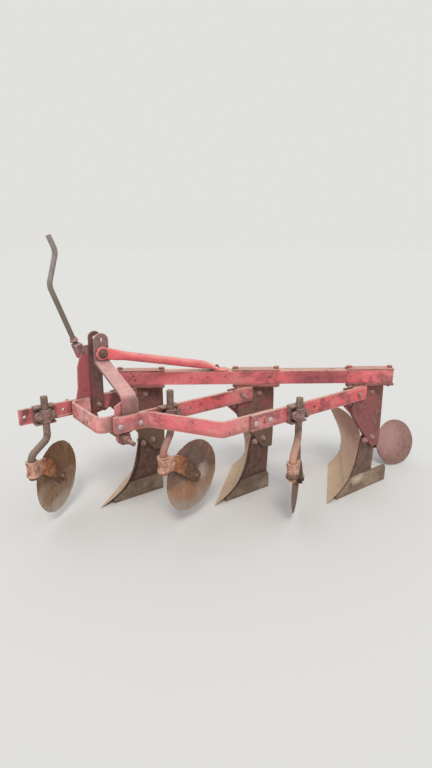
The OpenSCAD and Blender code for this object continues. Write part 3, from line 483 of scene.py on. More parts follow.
# Each finish: how it is made, with its seed and its tones, in the order that its function names them
FINISHES = {
    # The beam's patch near its middle is a stain; the pale one near its front is painted light, set against
    # the shadow of the stay
    "beam_paint": partial(
        painted, 2.3, rgb(224, 112, 116), rgb(204, 140, 134), chips=0.57, stains=0.5,
        patches=((along_beam(0.71), 0.05, 0.26, STAIN),
                 (along_beam(0.16), 0.10, 0.30, rgb(240, 130, 132)))),
    "bar_paint": partial(painted, 1.0, rgb(220, 96, 102), rgb(212, 132, 130), darkening_heights=(0.600, 0.575)),
    "stained_paint": partial(painted, 1.7, rgb(212, 112, 114), rgb(174, 106, 102), chips=0.54, stains=0.8),
    "pale_red_paint": partial(
        painted, 3.1, rgb(228, 112, 120), rgb(220, 146, 142), top=rgb(230, 190, 174), chips=0.6, veil=0.35,
        stains=0.4, darkening_heights=(0.608, 0.574)),
    # The dark patch where the right bent bar runs behind the left one is painted shade
    "pink_paint": partial(
        painted, 3.8, rgb(234, 144, 142), rgb(238, 180, 172), top=rgb(234, 196, 180), chips=0.6, veil=0.35,
        stains=0.4, darkening_heights=(0.598, 0.572), patches=((behind_bar_end(), 0.02, 0.08, rgb(88, 60, 56)),)),
    "bright_paint": partial(
        painted, 4.4, rgb(228, 108, 114), rgb(232, 138, 134), top=rgb(238, 168, 156), chips=0.66, veil=0.3,
        stains=0.25),
    # The leg brackets get darker just under the beam: painted shade
    "worn_paint": partial(
        painted, 5.7, rgb(176, 80, 88), rgb(150, 88, 88), top=rgb(204, 160, 146), chips=0.53, veil=0.8,
        stains=0.7, darkening_heights=(0.628, 0.646)),
    "bracket_finish": partial(
        rusted, 5.2, rgb(116, 84, 84), rgb(172, 132, 128), rgb(140, 100, 100), 0.46, rgb(214, 176, 166),
        below=(0.882, 0.02, rgb(180, 92, 96)), left=(rgb(120, 66, 70), 0.56)),
    "clamp_rust": partial(
        rusted, 5.9, rgb(124, 80, 76), rgb(164, 112, 106), rgb(176, 104, 100), 0.46, rgb(214, 176, 158)),
    "strap_paint": partial(
        rusted, 6.0, rgb(122, 96, 92), rgb(152, 116, 112), rgb(176, 116, 114), 0.48, rgb(230, 182, 174),
        below=(0.69, 0.04, rgb(128, 98, 90))),
    "strap_rust": partial(
        rusted, 10.6, rgb(88, 66, 60), rgb(122, 94, 88), rgb(132, 84, 80), 0.5, rgb(186, 148, 136)),
    "crank_finish": partial(
        rusted, 6.6, rgb(126, 114, 108), rgb(160, 148, 144), rgb(138, 116, 106), 0.6, rgb(184, 172, 166),
        below=(1.28, 0.18, rgb(112, 98, 88))),
    "board_steel": partial(
        scoured, 7.0, rgb(208, 180, 150), rgb(210, 170, 148), rgb(172, 126, 108), (0.08, 0.20, 0.36),
        rgb(150, 110, 90)),
    "share_steel": partial(
        scoured, 8.0, rgb(210, 182, 150), rgb(206, 178, 148), rgb(198, 168, 140), (0.0, 0.04, 0.08),
        rgb(160, 126, 100), streaks=0.45),
    "landside_steel": partial(
        scoured, 8.8, rgb(124, 106, 88), rgb(114, 95, 78), rgb(118, 95, 82), (0.0, 0.05, 0.12),
        rgb(82, 64, 55), streaks=0.7, patch=rgb(154, 132, 110),
        patches=((landside_clod(), 0.02, 0.075, rgb(206, 186, 164)),)),
    "dark_rust": partial(
        rusted, 10.0, rgb(92, 70, 62), rgb(126, 98, 86), RUST, 0.62, rgb(154, 128, 112),
        left=(rgb(146, 78, 76), 0.66)),
    "leg_rust": partial(
        rusted, 11.0, rgb(98, 68, 62), rgb(132, 98, 86), rgb(136, 84, 78), 0.48, DUST,
        left=(rgb(152, 82, 78), 0.5), left_above=(0.38, 0.58), below=(0.50, 0.14, rgb(116, 98, 80))),
    "red_leg_rust": partial(
        rusted, 11.6, rgb(110, 66, 64), rgb(142, 98, 90), rgb(142, 84, 82), 0.46, DUST,
        left=(rgb(160, 84, 82), 0.52), left_above=(0.30, 0.58)),
    "brown_rust": partial(rusted, 12.0, rgb(112, 85, 79), rgb(162, 130, 120), RUST, 0.6, rgb(178, 150, 136)),
    "pin_rust": partial(
        rusted, 12.4, rgb(116, 76, 70), rgb(150, 110, 102), rgb(170, 104, 98), 0.5, rgb(196, 158, 148)),
    # The wheel's pale patch is painted light, on the side of the dish's crown that faces the light
    "wheel_rust": partial(
        rusted, 13.0, rgb(128, 98, 90), rgb(146, 112, 102), rgb(134, 102, 92), 0.6, rgb(176, 142, 134),
        pitted=0.25, patches=((joint_at(JOINT_WHEEL) + WHEEL_PAINTED_LIGHT, 0.04, 0.15, rgb(176, 136, 130)),)),
    "board_edge": partial(rusted, 13.6, rgb(96, 76, 68), rgb(140, 112, 94), RUST, 0.6, rgb(196, 172, 146)),
    "bolt_steel": partial(
        rusted, 14.0, rgb(150, 130, 130), rgb(196, 182, 182), rgb(160, 120, 112), 0.62, rgb(214, 198, 192)),
    "bolt_rust": partial(
        rusted, 14.3, rgb(126, 94, 88), rgb(176, 138, 130), rgb(170, 112, 104), 0.56, rgb(196, 168, 152)),
}
# Finish of each node, by the start of its name
NODE_FINISH = {
    "main_beam": "beam_paint",
    "beam_clamp": "clamp_rust",
    "leg_bracket": "worn_paint",
    "leg": "leg_rust",
    "leg_3": "red_leg_rust",
    "frog": "dark_rust",
    "brace": "dark_rust",
    "share": "share_steel",
    "moldboard": "board_steel",
    "landside": "landside_steel",
    "frame_bar": "bar_paint",
    "frame_bar_1": "stained_paint",
    "bent_bar_left": "pale_red_paint",
    "bent_bar_right": "pink_paint",
    "hitch_plate": "bar_paint",
    "cross_shaft": "pin_rust",
    "mast_left": "strap_paint",
    "mast_right": "strap_rust",
    "stay_tube": "bright_paint",
    "screw_bracket": "bracket_finish",
    "hand_crank": "crank_finish",
    "coulter_clamp": "brown_rust",
    "coulter_disc": "disc_rust_1",
    "wheel_arm": "dark_rust",
    "rear_wheel": "wheel_rust",
}
# The coulters: tones of each disc and its patches, tone of the stem's foot, darkness of the arm's underside
DISC_TONES = {
    1: (rgb(134, 103, 76), rgb(178, 162, 148), rgb(146, 112, 82), rgb(188, 172, 156)),
    2: (rgb(114, 92, 82), rgb(156, 138, 124), rgb(160, 110, 74), rgb(180, 160, 144),
        ((joint_at(JOINT_DISC % 2) + DISC_SOIL, 0.015, 0.07, rgb(196, 176, 156)),)),
    3: (rgb(136, 98, 76), rgb(112, 96, 88), rgb(124, 98, 84), rgb(126, 108, 98)),
}
STEM_FEET = {1: rgb(116, 100, 88), 2: rgb(172, 116, 108), 3: rgb(200, 146, 122)}
ARM_FEET = {1: 0.0, 2: 0.0, 3: 0.85}
for k in BOTTOMS:
    axle = joint_at(JOINT_DISC % k)
    swivel = joint_at(JOINT_SWIVEL % k)
    FINISHES[f"disc_rust_{k}"] = partial(disc_finish, 14.0 + k, axle, *DISC_TONES[k])
    FINISHES[f"stem_rust_{k}"] = partial(stem_finish, 18.0 + k, swivel, STEM_FEET[k])
    FINISHES[f"arm_rust_{k}"] = partial(arm_finish, 26.0 + k, swivel, ARM_FEET[k])
    NODE_FINISH[f"coulter_stem_{k}"] = f"stem_rust_{k}"
    NODE_FINISH[f"coulter_arm_{k}"] = f"arm_rust_{k}"


@cache
def finish_of(name):
    material = FINISHES[name]()
    material.name = name
    return material


def dress_nodes():
    for name, obj in nodes.items():
        start = max((k for k in NODE_FINISH if name.startswith(k)), key=len)
        for place in obj.material_slots:
            place.material = finish_of(NODE_FINISH[start])


# Soft edges: castings and forgings have rounder ones than plates
SOFT_EDGES = {"coulter_arm": 0.0035, "coulter_clamp": 0.0022, "frog": 0.002, "mast": 0.002,
              "screw_bracket": 0.004}
PLATE_EDGE = 0.0015
EDGE_ANGLE = math.radians(38)


def soften(obj, width, segments=2):
    bevel = obj.modifiers.new("soft edges", "BEVEL")
    bevel.width = width
    bevel.segments = segments
    bevel.limit_method = "ANGLE"
    bevel.angle_limit = EDGE_ANGLE
    bevel.harden_normals = False


def soften_nodes():
    for name, obj in nodes.items():
        start = [k for k in SOFT_EDGES if name.startswith(k)]
        soften(obj, SOFT_EDGES[start[0]] if start else PLATE_EDGE)


# Mesh tools
BEND_STEPS = 8


def join_rings(bm, rings, index=0, ends=True):
    """Skins a row of rings; with ends, it is closed by two caps, otherwise the last ring joins the first."""
    count = len(rings[0])
    pairs = list(zip(rings, rings[1:]))
    if not ends:
        pairs.append((rings[-1], rings[0]))
    for a, b in pairs:
        for i in range(count):
            bm.faces.new((a[i], a[(i + 1) % count], b[(i + 1) % count], b[i])).material_index = index
    if ends:
        bm.faces.new(rings[0][::-1]).material_index = index
        bm.faces.new(rings[-1]).material_index = index


def around(axis, angle):
    """The unit vector at an angle around an axis."""
    return Matrix.Rotation(angle, 3, axis) @ axis.orthogonal().normalized()


def revolve(bm, at, axis, profile, count, index=0, shift=None, ends=True, turn=0.0):
    """A turned form. The profile gives (radius, height along the axis).

    shift changes a radius by ring and angle, and turn is the angle of the first side.
    """
    axis = Vector(axis).normalized()

    def place(r, i):
        radius, height = profile[r]
        full = radius + (shift(r, i) if shift else 0.0)
        return at + axis * height + around(axis, turn + math.tau * i / count) * full

    rings = [[bm.verts.new(place(r, i)) for i in range(count)] for r in range(len(profile))]
    join_rings(bm, rings, index, ends)


def bent(points, radius):
    """A path with a round bend at each of its corners."""
    path = [points[0]]
    for a, p, b in zip(points, points[1:], points[2:]):
        u, v = (p - a).normalized(), (b - p).normalized()
        reach = min(radius * math.tan(u.angle(v) / 2), 0.45 * (p - a).length, 0.45 * (b - p).length)
        for i in range(BEND_STEPS + 1):
            t = i / BEND_STEPS
            path.append((p - u * reach) * (1 - t) ** 2 + p * 2 * t * (1 - t) + (p + v * reach) * t * t)
    path.append(points[-1])
    return path


def sweep(bm, path, section, hint):
    """A skin along a path. section(length so far) gives each ring's offsets as (side, high)."""
    hint = Vector(hint)
    rings = []
    length = 0.0
    for i, p in enumerate(path):
        if i:
            length += (p - path[i - 1]).length
        way = (path[min(i + 1, len(path) - 1)] - path[max(i - 1, 0)]).normalized()
        side = hint.cross(way).normalized()
        hint = way.cross(side)
        rings.append([bm.verts.new(p + side * a + hint * b) for a, b in section(length)])
    join_rings(bm, rings)


def oblong(half_side, half_high, power, count):
    """The ring of a rounded rectangle; a larger power gives squarer corners."""
    def squared(v):
        return math.copysign(abs(v) ** (2 / power), v)

    angles = [math.tau * i / count for i in range(count)]
    return [(half_side * squared(math.cos(a)), half_high * squared(math.sin(a))) for a in angles]


def between(table, at):
    """Values at a length, from a table of (length, values...) rows."""
    for a, b in zip(table, table[1:]):
        if at <= b[0]:
            t = max(0.0, (at - a[0]) / (b[0] - a[0]))
            t = t * t * (3 - 2 * t)
            return [x + (y - x) * t for x, y in zip(a[1:], b[1:])]
    return list(table[-1][1:])


def mesh_piece(name, bm, finishes, smooth, body="frame", edge=0.0, instead_of=()):
    """A mesh made into a piece of the object, smooth up to an angle in degrees, with soft edges or none."""
    bmesh.ops.recalc_face_normals(bm, faces=bm.faces)
    data = bpy.data.meshes.new(name)
    bm.to_mesh(data)
    bm.free()
    data.shade_smooth()
    data.set_sharp_from_angle(angle=math.radians(smooth))
    obj = add_object(name, data)
    for finish in finishes:
        data.materials.append(finish_of(finish))
    if edge:
        soften(obj, edge, 1)
    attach(obj, body)
    if instead_of:
        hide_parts(*instead_of)


# The working face of share and moldboard: level straight lines, each at its own angle
SHIN_RUN = 0.200
SHIN_RISE = 0.070
SHIN_SLOPE = 0.15
SHARE_ANGLE = 41.0
TOP_ANGLE = 22.0
TOP_ANGLE_Z = 0.358
ANGLE_POWER = 1.5
SEAM_Z = 0.076
SEAM_GAP = 0.0006
BOARD_T = 0.008
SHARE_EDGE_T = 0.0015
SHARE_REACH = 0.350
SHARE_FLARE = 0.004
WING_REACH = 0.400
BOARD_FULL_Z = 0.160
BOARD_TOP_SHIN = 0.345
BOARD_TOP_WING = 0.358
BOARD_CROWN = 0.068
ROW_BIAS = 1.5
FACE_COLS = 48
SHARE_ROWS = 16
BOARD_ROWS = 40
FACE_STEP = 0.0005
PLATE_SOFT = 0.0008
# Nicks in a share's cutting edge: their depth, how rare the deep ones are, and how many rows rise with them
EDGE_NICK = 0.004
NICK_POWER = 4
NICKED_ROWS = 3


def shin_x(z):
    return -SHIN_RUN * (1 - math.exp(-z / SHIN_RISE)) - SHIN_SLOPE * z


def line_angle(z):
    return math.radians(SHARE_ANGLE + TOP_ANGLE * (z / TOP_ANGLE_Z) ** ANGLE_POWER)


def face_point(across, z):
    return Vector((shin_x(z) - across / math.tan(line_angle(z)), -across, z))


def face_back(across, z):
    """Unit normal of the working face, away from the soil."""
    along = face_point(across + FACE_STEP, z) - face_point(across, z)
    rise = face_point(across, z + FACE_STEP) - face_point(across, z)
    normal = along.cross(rise).normalized()
    return -normal if normal.x > 0 else normal


def plate_t(z):
    return SHARE_EDGE_T + (BOARD_T - SHARE_EDGE_T) * min(1.0, z / SEAM_Z)


def row_z(r, rows, z0, z1):
    return z0 + (z1 - z0) * (r / rows) ** ROW_BIAS


def board_top(u):
    return BOARD_TOP_SHIN + (BOARD_TOP_WING - BOARD_TOP_SHIN) * u + BOARD_CROWN * 4 * u * (1 - u)


def wing_y(z):
    return SHARE_REACH + (WING_REACH - SHARE_REACH) * min(1.0, z / BOARD_FULL_Z)


def share_grid():
    """The share's rows as (across, height); the lowest rows rise where its edge is nicked."""
    nicks = [random.random() ** NICK_POWER * EDGE_NICK for _ in range(FACE_COLS + 1)]
    grid = []
    for r in range(SHARE_ROWS + 1):
        z = row_z(r, SHARE_ROWS, SHARE_EDGE_T, SEAM_Z - SEAM_GAP)
        worn = max(0.0, 1 - r / NICKED_ROWS)
        reach = SHARE_REACH + SHARE_FLARE * z / SEAM_Z
        grid.append([(reach * c / FACE_COLS, z + nicks[c] * worn) for c in range(FACE_COLS + 1)])
    return grid


def board_grid():
    def place(r, c):
        z = row_z(r, BOARD_ROWS, SEAM_Z, board_top(c / FACE_COLS))
        return wing_y(z) * c / FACE_COLS, z

    return [[place(r, c) for c in range(FACE_COLS + 1)] for r in range(BOARD_ROWS + 1)]


def curved_plate(name, node, origin, grid, finishes):
    """A plate on the working face; its front takes the first finish, its back and edges the second."""
    bm = bmesh.new()

    def corner(across, z, side):
        p = face_point(across, z) + face_back(across, z) * plate_t(z) * side
        return bm.verts.new(origin + Vector((p.x, min(0.0, p.y), max(0.0, p.z))))

    front, back = ([[corner(across, z, side) for across, z in row] for row in grid] for side in (0.0, 1.0))
    last_r, last_c = len(grid) - 1, len(grid[0]) - 1
    for r in range(last_r):
        for c in range(last_c):
            bm.faces.new((front[r][c], front[r][c + 1], front[r + 1][c + 1], front[r + 1][c]))
            face = bm.faces.new((back[r][c], back[r + 1][c], back[r + 1][c + 1], back[r][c + 1]))
            face.material_index = 1
    for c in range(last_c):
        for r in (0, last_r):
            bm.faces.new((front[r][c], front[r][c + 1], back[r][c + 1], back[r][c])).material_index = 1
    for r in range(last_r):
        for c in (0, last_c):
            bm.faces.new((front[r][c], front[r + 1][c], back[r + 1][c], back[r][c])).material_index = 1
    mesh_piece(name, bm, finishes, 50.0, edge=PLATE_SOFT, instead_of=(node,))


def make_faces():
    for k in BOTTOMS:
        share, board = f"share_{k}", f"moldboard_{k}"
        curved_plate(f"share_blade_{k}", share, tip(k), share_grid(), ("share_steel", "landside_steel"))
        curved_plate(f"moldboard_skin_{k}", board, tip(k), board_grid(), ("board_steel", "board_edge"))


# Bolts. Each reaches a little into what it sits on
SUNK = 0.001
WASHER_T = 0.003
WASHER_RATIO = 1.2
HEAD_SIDES = 6
WASHER_SIDES = 24
STUB_SIDES = 16
STUB_RATIO = 0.52
DOME_STEPS = 5
DOME_SIDES = 20


def bolt(bm, at, axis, radius, height, washer=0.0, stub=0.0, index=0):
    """A bolt head or nut on a surface, chamfered, with a washer and the bolt's end where they are given."""
    turned = partial(revolve, bm, at, axis, index=index, turn=random.uniform(0, math.tau))
    base = 0.0
    if washer:
        base = WASHER_T
        turned(((washer, -SUNK), (washer, base * 0.7), (washer * 0.95, base)), WASHER_SIDES)
    top = base + height
    turned(((radius, base - SUNK), (radius, base + height * 0.8), (radius * 0.86, top)), HEAD_SIDES)
    if stub:
        end = radius * STUB_RATIO
        turned(((end, base), (end, top + stub), (radius * 0.42, top + stub + 0.0015)), STUB_SIDES)


def round_head(bm, at, axis, radius, height):
    """A domed head, as of a carriage bolt or a rivet."""
    profile = [(radius, -SUNK)]
    for i in range(DOME_STEPS + 1):
        angle = math.pi / 2 * i / (DOME_STEPS + 0.4)
        profile.append((radius * math.cos(angle), height * math.sin(angle)))
    revolve(bm, at, axis, profile, DOME_SIDES)


# Faces that bolts sit on, in millimetres to the left of each furrow wall
LEG_LEFT = 10
BAR_LEFT = 26
BENT_LEFT = 40
MAST_LEFT = 38
WEB_LEFT = -12
WEB_RIGHT = -26
FROG_RIGHT = -32
# Bolts of each bottom, in millimetres: (X, height, face of the head, face of the nut, radius, stub)
BOTTOM_BOLTS = (
    (-300, 601, LEG_LEFT, WEB_RIGHT, 14, 5),
    (-181, 610, BAR_LEFT, WEB_RIGHT, 13, 4),
    (-144, 554, WEB_LEFT, WEB_RIGHT, 13, 4),
    (-278, 318, LEG_LEFT, FROG_RIGHT, 14, 6),
    (-338, 326, LEG_LEFT, FROG_RIGHT, 14, 6),
)
# Bolt of the mast's foot on the first bottom, in millimetres: (X, height, face, radius, stub)
MAST_BOLT = (-16, 604, MAST_LEFT, 12, 5)
HEAD_H = 0.010
MAST_HEAD_H = 0.011
NUT_H = 0.013
# A nut is wider than its bolt's head by this, and its bolt stands out of it by this, in millimetres
NUT_WIDER = 1
NUT_STUB = 8
# Domed bolts, worn bright, in millimetres: (bottom, X, face, height)
DOMED_BOLTS = (
    (2, 551, BENT_LEFT, 602),
    (2, 450, BENT_LEFT, 602),
    (3, 549, BAR_LEFT, 608),
    (3, 459, BAR_LEFT, 608),
)
DOME_R = 0.0135
DOME_H = 0.008
# Flush bolts: (across, height, thickness behind the plate at its nut), without the last where no nut is made
FROG_SEAT = 0.010
BOARD_BOLTS = ((0.045, 0.105, FROG_SEAT), (0.045, 0.200, FROG_SEAT), (0.060, 0.290, 0.0), (0.150, 0.110, 0.0),
               (0.285, 0.240, None))
SHARE_BOLTS = ((0.060, 0.055, None), (0.150, 0.055, None))
FLUSH_HEAD = ((0.0105, -SUNK), (0.0105, 0.0002), (0.0098, 0.0006))
BOARD_NUT_R = 0.013
BOARD_NUT_H = 0.010
BOARD_STUB = 0.006
# Flush bolts of the landsides: (X, height)
LANDSIDE_BOLTS = ((-0.215, 0.052), (-0.300, 0.052), (-0.370, 0.052))
LANDSIDE_HEAD = ((0.011, -SUNK), (0.011, 0.0003), (0.010, 0.0008))
FLUSH_SIDES = 24


def make_bolts():
    bm = bmesh.new()

    def from_left(k, x, z, face, radius, stub, height):
        bolt(bm, local(k, x, face, z), LEFT, radius / 1000, height, radius * WASHER_RATIO / 1000, stub / 1000)

    for k in BOTTOMS:
        for x, z, face, _, radius, stub in BOTTOM_BOLTS:
            from_left(k, x, z, face, radius, stub, HEAD_H)
        for x, z, _, face, radius, _ in BOTTOM_BOLTS:
            bolt(bm, local(k, x, face, z), RIGHT, (radius + NUT_WIDER) / 1000, NUT_H, stub=NUT_STUB / 1000)
    from_left(1, *MAST_BOLT, MAST_HEAD_H)
    mesh_piece("frame_bolts", bm, ("bolt_rust",), 30.0)
    bm = bmesh.new()
    for k, x, face, z in DOMED_BOLTS:
        round_head(bm, local(k, x, face, z), LEFT, DOME_R, DOME_H)
    mesh_piece("domed_bolts", bm, ("bolt_steel",), 30.0)
    for k in BOTTOMS:
        heads = bmesh.new()
        nuts = bmesh.new()
        for across, z, behind in BOARD_BOLTS + SHARE_BOLTS:
            back = face_back(across, z)
            front = tip(k) + face_point(across, z)
            revolve(heads, front, -back, FLUSH_HEAD, FLUSH_SIDES, 1 if z < SEAM_Z else 0)
            if behind is not None:
                bolt(nuts, front + back * (BOARD_T + behind), back, BOARD_NUT_R, BOARD_NUT_H, stub=BOARD_STUB)
        for x, z in LANDSIDE_BOLTS:
            revolve(heads, tip(k) + Vector((x, 0, z)), LEFT, LANDSIDE_HEAD, FLUSH_SIDES, 2)
        mesh_piece(f"plough_bolts_{k}", heads, ("board_steel", "share_steel", "landside_steel"),
                   30.0)
        mesh_piece(f"board_nuts_{k}", nuts, ("dark_rust",), 30.0)


# Coulter discs: turned, with a hub, rivets and a nicked rim
DISC_R = 0.185
DISC_HALF = 0.0025
DISC_GRIND = 0.018
DISC_EDGE = 0.0007
HUB_R = 0.046
HUB_HALF = 0.012
BORE_R = 0.0151
DISC_COUNT = 144
DISC_PROFILE = ((BORE_R, HUB_HALF), (HUB_R - 0.003, HUB_HALF), (HUB_R, HUB_HALF - 0.003),
                (HUB_R, DISC_HALF + 0.002), (HUB_R + 0.002, DISC_HALF), (0.09, DISC_HALF), (0.14, DISC_HALF),
                (DISC_R - DISC_GRIND, DISC_HALF), (DISC_R - 0.004, DISC_EDGE * 1.6), (DISC_R, DISC_EDGE))
# The rim's nicks: their depth, how rare the deep ones are, how far in they reach, and its slow wear
DISC_NICK = 0.005
RIM_POWER = 5
NICK_REACH = 0.006
SLOW_WEAR = 0.0012
# Rivets of hub and wheel: how many, and of each (distance from the axle, radius, height)
RIVETS = 4
HUB_RIVET = (0.033, 0.007, 0.004)
WHEEL_RIVET = (0.028, 0.006, 0.0025)
WHEEL_RIVET_TURN = 0.4


def make_discs():
    profile = [*DISC_PROFILE, *((r, -h) for r, h in reversed(DISC_PROFILE))]
    out, rivet_r, rivet_h = HUB_RIVET
    for k in BOTTOMS:
        joint = joints[JOINT_DISC % k]
        at = Vector(joint["pos_m"])
        axis = Vector(joint["axis"])
        wave = [random.random() ** RIM_POWER for _ in range(DISC_COUNT)]
        wave = [(wave[i - 1] + 2 * wave[i] + wave[(i + 1) % DISC_COUNT]) / 4 for i in range(DISC_COUNT)]

        def nick(ring, i):
            near = max(0.0, 1 - (DISC_R - profile[ring][0]) / NICK_REACH)
            slow = SLOW_WEAR * math.sin(3 * math.tau * i / DISC_COUNT + k)
            return -(DISC_NICK * wave[i] + slow) * near

        bm = bmesh.new()
        revolve(bm, at, axis, profile, DISC_COUNT, shift=nick, ends=False)
        for i in range(RIVETS):
            spoke = around(axis, math.tau * (i + 0.5) / RIVETS) * out
            for way in (axis, -axis):
                round_head(bm, at + spoke + way * HUB_HALF, way, rivet_r, rivet_h)
        mesh_piece(f"coulter_blade_{k}", bm, (f"disc_rust_{k}",), 25.0, body=joint["child"],
                   instead_of=(f"coulter_disc_{k}",))


# Rear wheel: a crowned dish with its hub behind, and a rim that is a little dented
WHEEL_R = 0.145
WHEEL_DISH = 0.016
WHEEL_HALF_T = 0.004
WHEEL_HUB_R = 0.042
WHEEL_HUB_LEN = 0.040
WHEEL_CLEAR = 0.0151
WHEEL_COUNT = 96
CROWN_RINGS = 14
CROWN_FROM = 0.004
CROWN_SPAN = WHEEL_R - 0.006
RIM_ROUND = 0.0006
RIM_DEPTH = 0.01
RIM_DENT = 0.0012


def crown(r):
    return WHEEL_DISH * (1 - (r / WHEEL_R) ** 2)


def make_wheel():
    joint = joints[JOINT_WHEEL]
    axis = Vector(joint["axis"])
    if axis.y < 0:
        axis = -axis
    at = Vector(joint["pos_m"])
    radii = [CROWN_FROM + CROWN_SPAN * (i / CROWN_RINGS) for i in range(CROWN_RINGS + 1)]
    profile = [(r, crown(r) + WHEEL_HALF_T) for r in radii]
    profile += [(WHEEL_R - RIM_ROUND, WHEEL_HALF_T * 0.6), (WHEEL_R, 0.0)]
    profile += [(WHEEL_R - RIM_ROUND, -WHEEL_HALF_T * 0.6)]
    profile += [(r, crown(r) - WHEEL_HALF_T) for r in reversed(radii) if r > WHEEL_HUB_R + 0.006]
    profile += [(WHEEL_HUB_R + 0.004, crown(WHEEL_HUB_R) - WHEEL_HALF_T - 0.002), (WHEEL_HUB_R, 0.004),
                (WHEEL_HUB_R, -WHEEL_HUB_LEN + 0.003), (WHEEL_HUB_R - 0.003, -WHEEL_HUB_LEN),
                (WHEEL_CLEAR, -WHEEL_HUB_LEN), (WHEEL_CLEAR, 0.003)]

    def dent(ring, i):
        rim = 1.0 if profile[ring][0] > WHEEL_R - RIM_DEPTH else 0.0
        slow, fast = math.sin(2 * math.tau * i / WHEEL_COUNT), math.sin(5 * math.tau * i / WHEEL_COUNT + 1.3)
        return rim * RIM_DENT * fast * slow

    bm = bmesh.new()
    revolve(bm, at, axis, profile, WHEEL_COUNT, shift=dent)
    out, rivet_r, rivet_h = WHEEL_RIVET
    for i in range(RIVETS):
        spoke = around(axis, math.tau * i / RIVETS + WHEEL_RIVET_TURN) * out
        round_head(bm, at + spoke + axis * (crown(out) + WHEEL_HALF_T), axis, rivet_r, rivet_h)
    mesh_piece("furrow_wheel_dish", bm, ("wheel_rust",), 35.0, body=joint["child"],
               instead_of=("rear_wheel",))


# Stay: a tube flattened at both ends, bolted through the mast and to the beam; places are in millimetres
STAY_EYE = (-18, 112.3, 884)
STAY_PATH = ((-36, 117.5, 881), (-82, 133.5, 872), (-580, 214.5, 760), (-636, 246, 733), (-656, 250, 733))
STAY_FOOT = (-642.3, 248.6, 730)
STAY_BEND = 0.12
STAY_STEP = 0.02
STAY_SIDES = 28
STAY_R = 0.022
# Its cross-sections from either end: (length from the end, half side, half height, squareness)
STAY_HEAD = ((0.0, 0.005, 0.030, 3.5), (0.035, 0.009, 0.028, 2.6), (0.10, STAY_R, STAY_R, 2.0))
STAY_TAIL = ((0.13, STAY_R, STAY_R, 2.0), (0.055, 0.030, 0.011, 2.6), (0.0, 0.032, 0.005, 3.5))
EYE_SIDES = 48
EYE_R = 0.034
EYE_T = 0.0097
EYE_RINGS = ((EYE_R - 0.0015, 0.0), (EYE_R, 0.0015), (EYE_R, EYE_T - 0.002), (EYE_R - 0.002, EYE_T))
# The foot lies along the beam: its rings as (inset, height), its outline, and its bolt
BEAM_ANGLE = math.radians(144.98)
FOOT_T = 0.0098
FOOT_RINGS = ((0.001, 0.0003), (0.0, 0.0015), (0.0, 0.008), (0.002, FOOT_T))
FOOT_HALF = (0.038, 0.030)
FOOT_SQUARENESS = 7.0
FOOT_SIDES = 32
FOOT_BACK = 0.006
FOOT_BOLT_AT = -0.026
# Radius, height, washer and bolt's end
FOOT_BOLT = (0.015, 0.011, 0.019, 0.006)
# The pin through the mast: washer, head, pin, nut and spacer. Inner faces of the straps are in millimetres
MAST_INNER = (26, 112)
PIN_R = 0.011
PIN_OVER = 0.016
PIN_SIDES = 24
PIN_HEAD = (0.0185, 0.009)
PIN_STUB = 0.003
PIN_NUT = (0.0187, 0.014)
NUT_BED = 0.0003
PIN_WASHER_T = 0.004
PIN_WASHER = ((0.0235, -0.0005), (0.0235, 0.003), (0.0225, PIN_WASHER_T))
WASHER_COUNT = 32
SPACER_AT = 0.0125
SPACER = ((0.0175, 0.0), (0.0175, 0.061))


def make_stay():
    bm = bmesh.new()
    path = bent([local(1, *p) for p in STAY_PATH], STAY_BEND)
    full = sum((b - a).length for a, b in zip(path, path[1:]))
    table = [*STAY_HEAD, *((full - back, *values) for back, *values in STAY_TAIL)]
    stations = []
    for a, b in zip(path, path[1:]):
        pieces = max(1, int((b - a).length / STAY_STEP))
        stations += [a.lerp(b, i / pieces) for i in range(pieces)]
    stations.append(path[-1])
    sweep(bm, stations, lambda length: oblong(*between(table, length), STAY_SIDES), UP)
    eye = local(1, *STAY_EYE)
    revolve(bm, eye, LEFT, EYE_RINGS, EYE_SIDES)
    foot = local(1, *STAY_FOOT)
    along = Vector((math.cos(BEAM_ANGLE), math.sin(BEAM_ANGLE), 0))
    across = Vector((-along.y, along.x, 0))
    side, high = FOOT_HALF
    rings = []
    for inset, z in FOOT_RINGS:
        outline = oblong(side - inset, high - inset, FOOT_SQUARENESS, FOOT_SIDES)
        rings.append([bm.verts.new(foot + along * (a - FOOT_BACK) + across * b + Vector((0, 0, z)))
                      for a, b in outline])
    join_rings(bm, rings)
    bolt(bm, foot + along * FOOT_BOLT_AT + Vector((0, 0, FOOT_T)), UP, *FOOT_BOLT, index=1)
    pin = eye + Vector((0, EYE_T, 0))
    revolve(bm, pin, LEFT, PIN_WASHER, WASHER_COUNT, 1)
    bolt(bm, pin + Vector((0, PIN_WASHER_T, 0)), LEFT, *PIN_HEAD, stub=PIN_STUB, index=1)
    right = (MAST_INNER[0] - MAST_INNER[1]) / 1000
    pin_rings = ((PIN_R, 0.0), (PIN_R, PIN_OVER - right))
    revolve(bm, eye + Vector((0, right - PIN_OVER, 0)), LEFT, pin_rings, PIN_SIDES, 1)
    bolt(bm, eye + Vector((0, right - NUT_BED, 0)), RIGHT, *PIN_NUT, index=1)
    revolve(bm, eye + Vector((0, right + SPACER_AT, 0)), LEFT, SPACER, WASHER_COUNT, 1)
    mesh_piece("stay_rod", bm, ("bright_paint", "dark_rust"), 35.0,
               instead_of=("stay_tube",))


# The screw: its foot in millimetres, and by length from it the thread below its block and the collar above
SCREW_FOOT = (-68, -24, 570)
SCREW_WAY = Vector((0.342, 0.0, 0.94))
COLLAR_AT = 0.3835
COLLAR_PROFILE = ((0.0185, 0.0), (0.0205, 0.002), (0.0205, 0.010), (0.0185, 0.012), (0.0165, 0.0125),
                  (0.0165, 0.019), (0.0155, 0.021))
COLLAR_SIDES = 36
THREAD_FROM = 0.050
THREAD_TO = 0.292
THREAD_PITCH = 0.006
THREAD_ROOT = 0.0127
THREAD_DEPTH = 0.0016
THREAD_SIDES = 24
RINGS_PER_TURN = 6


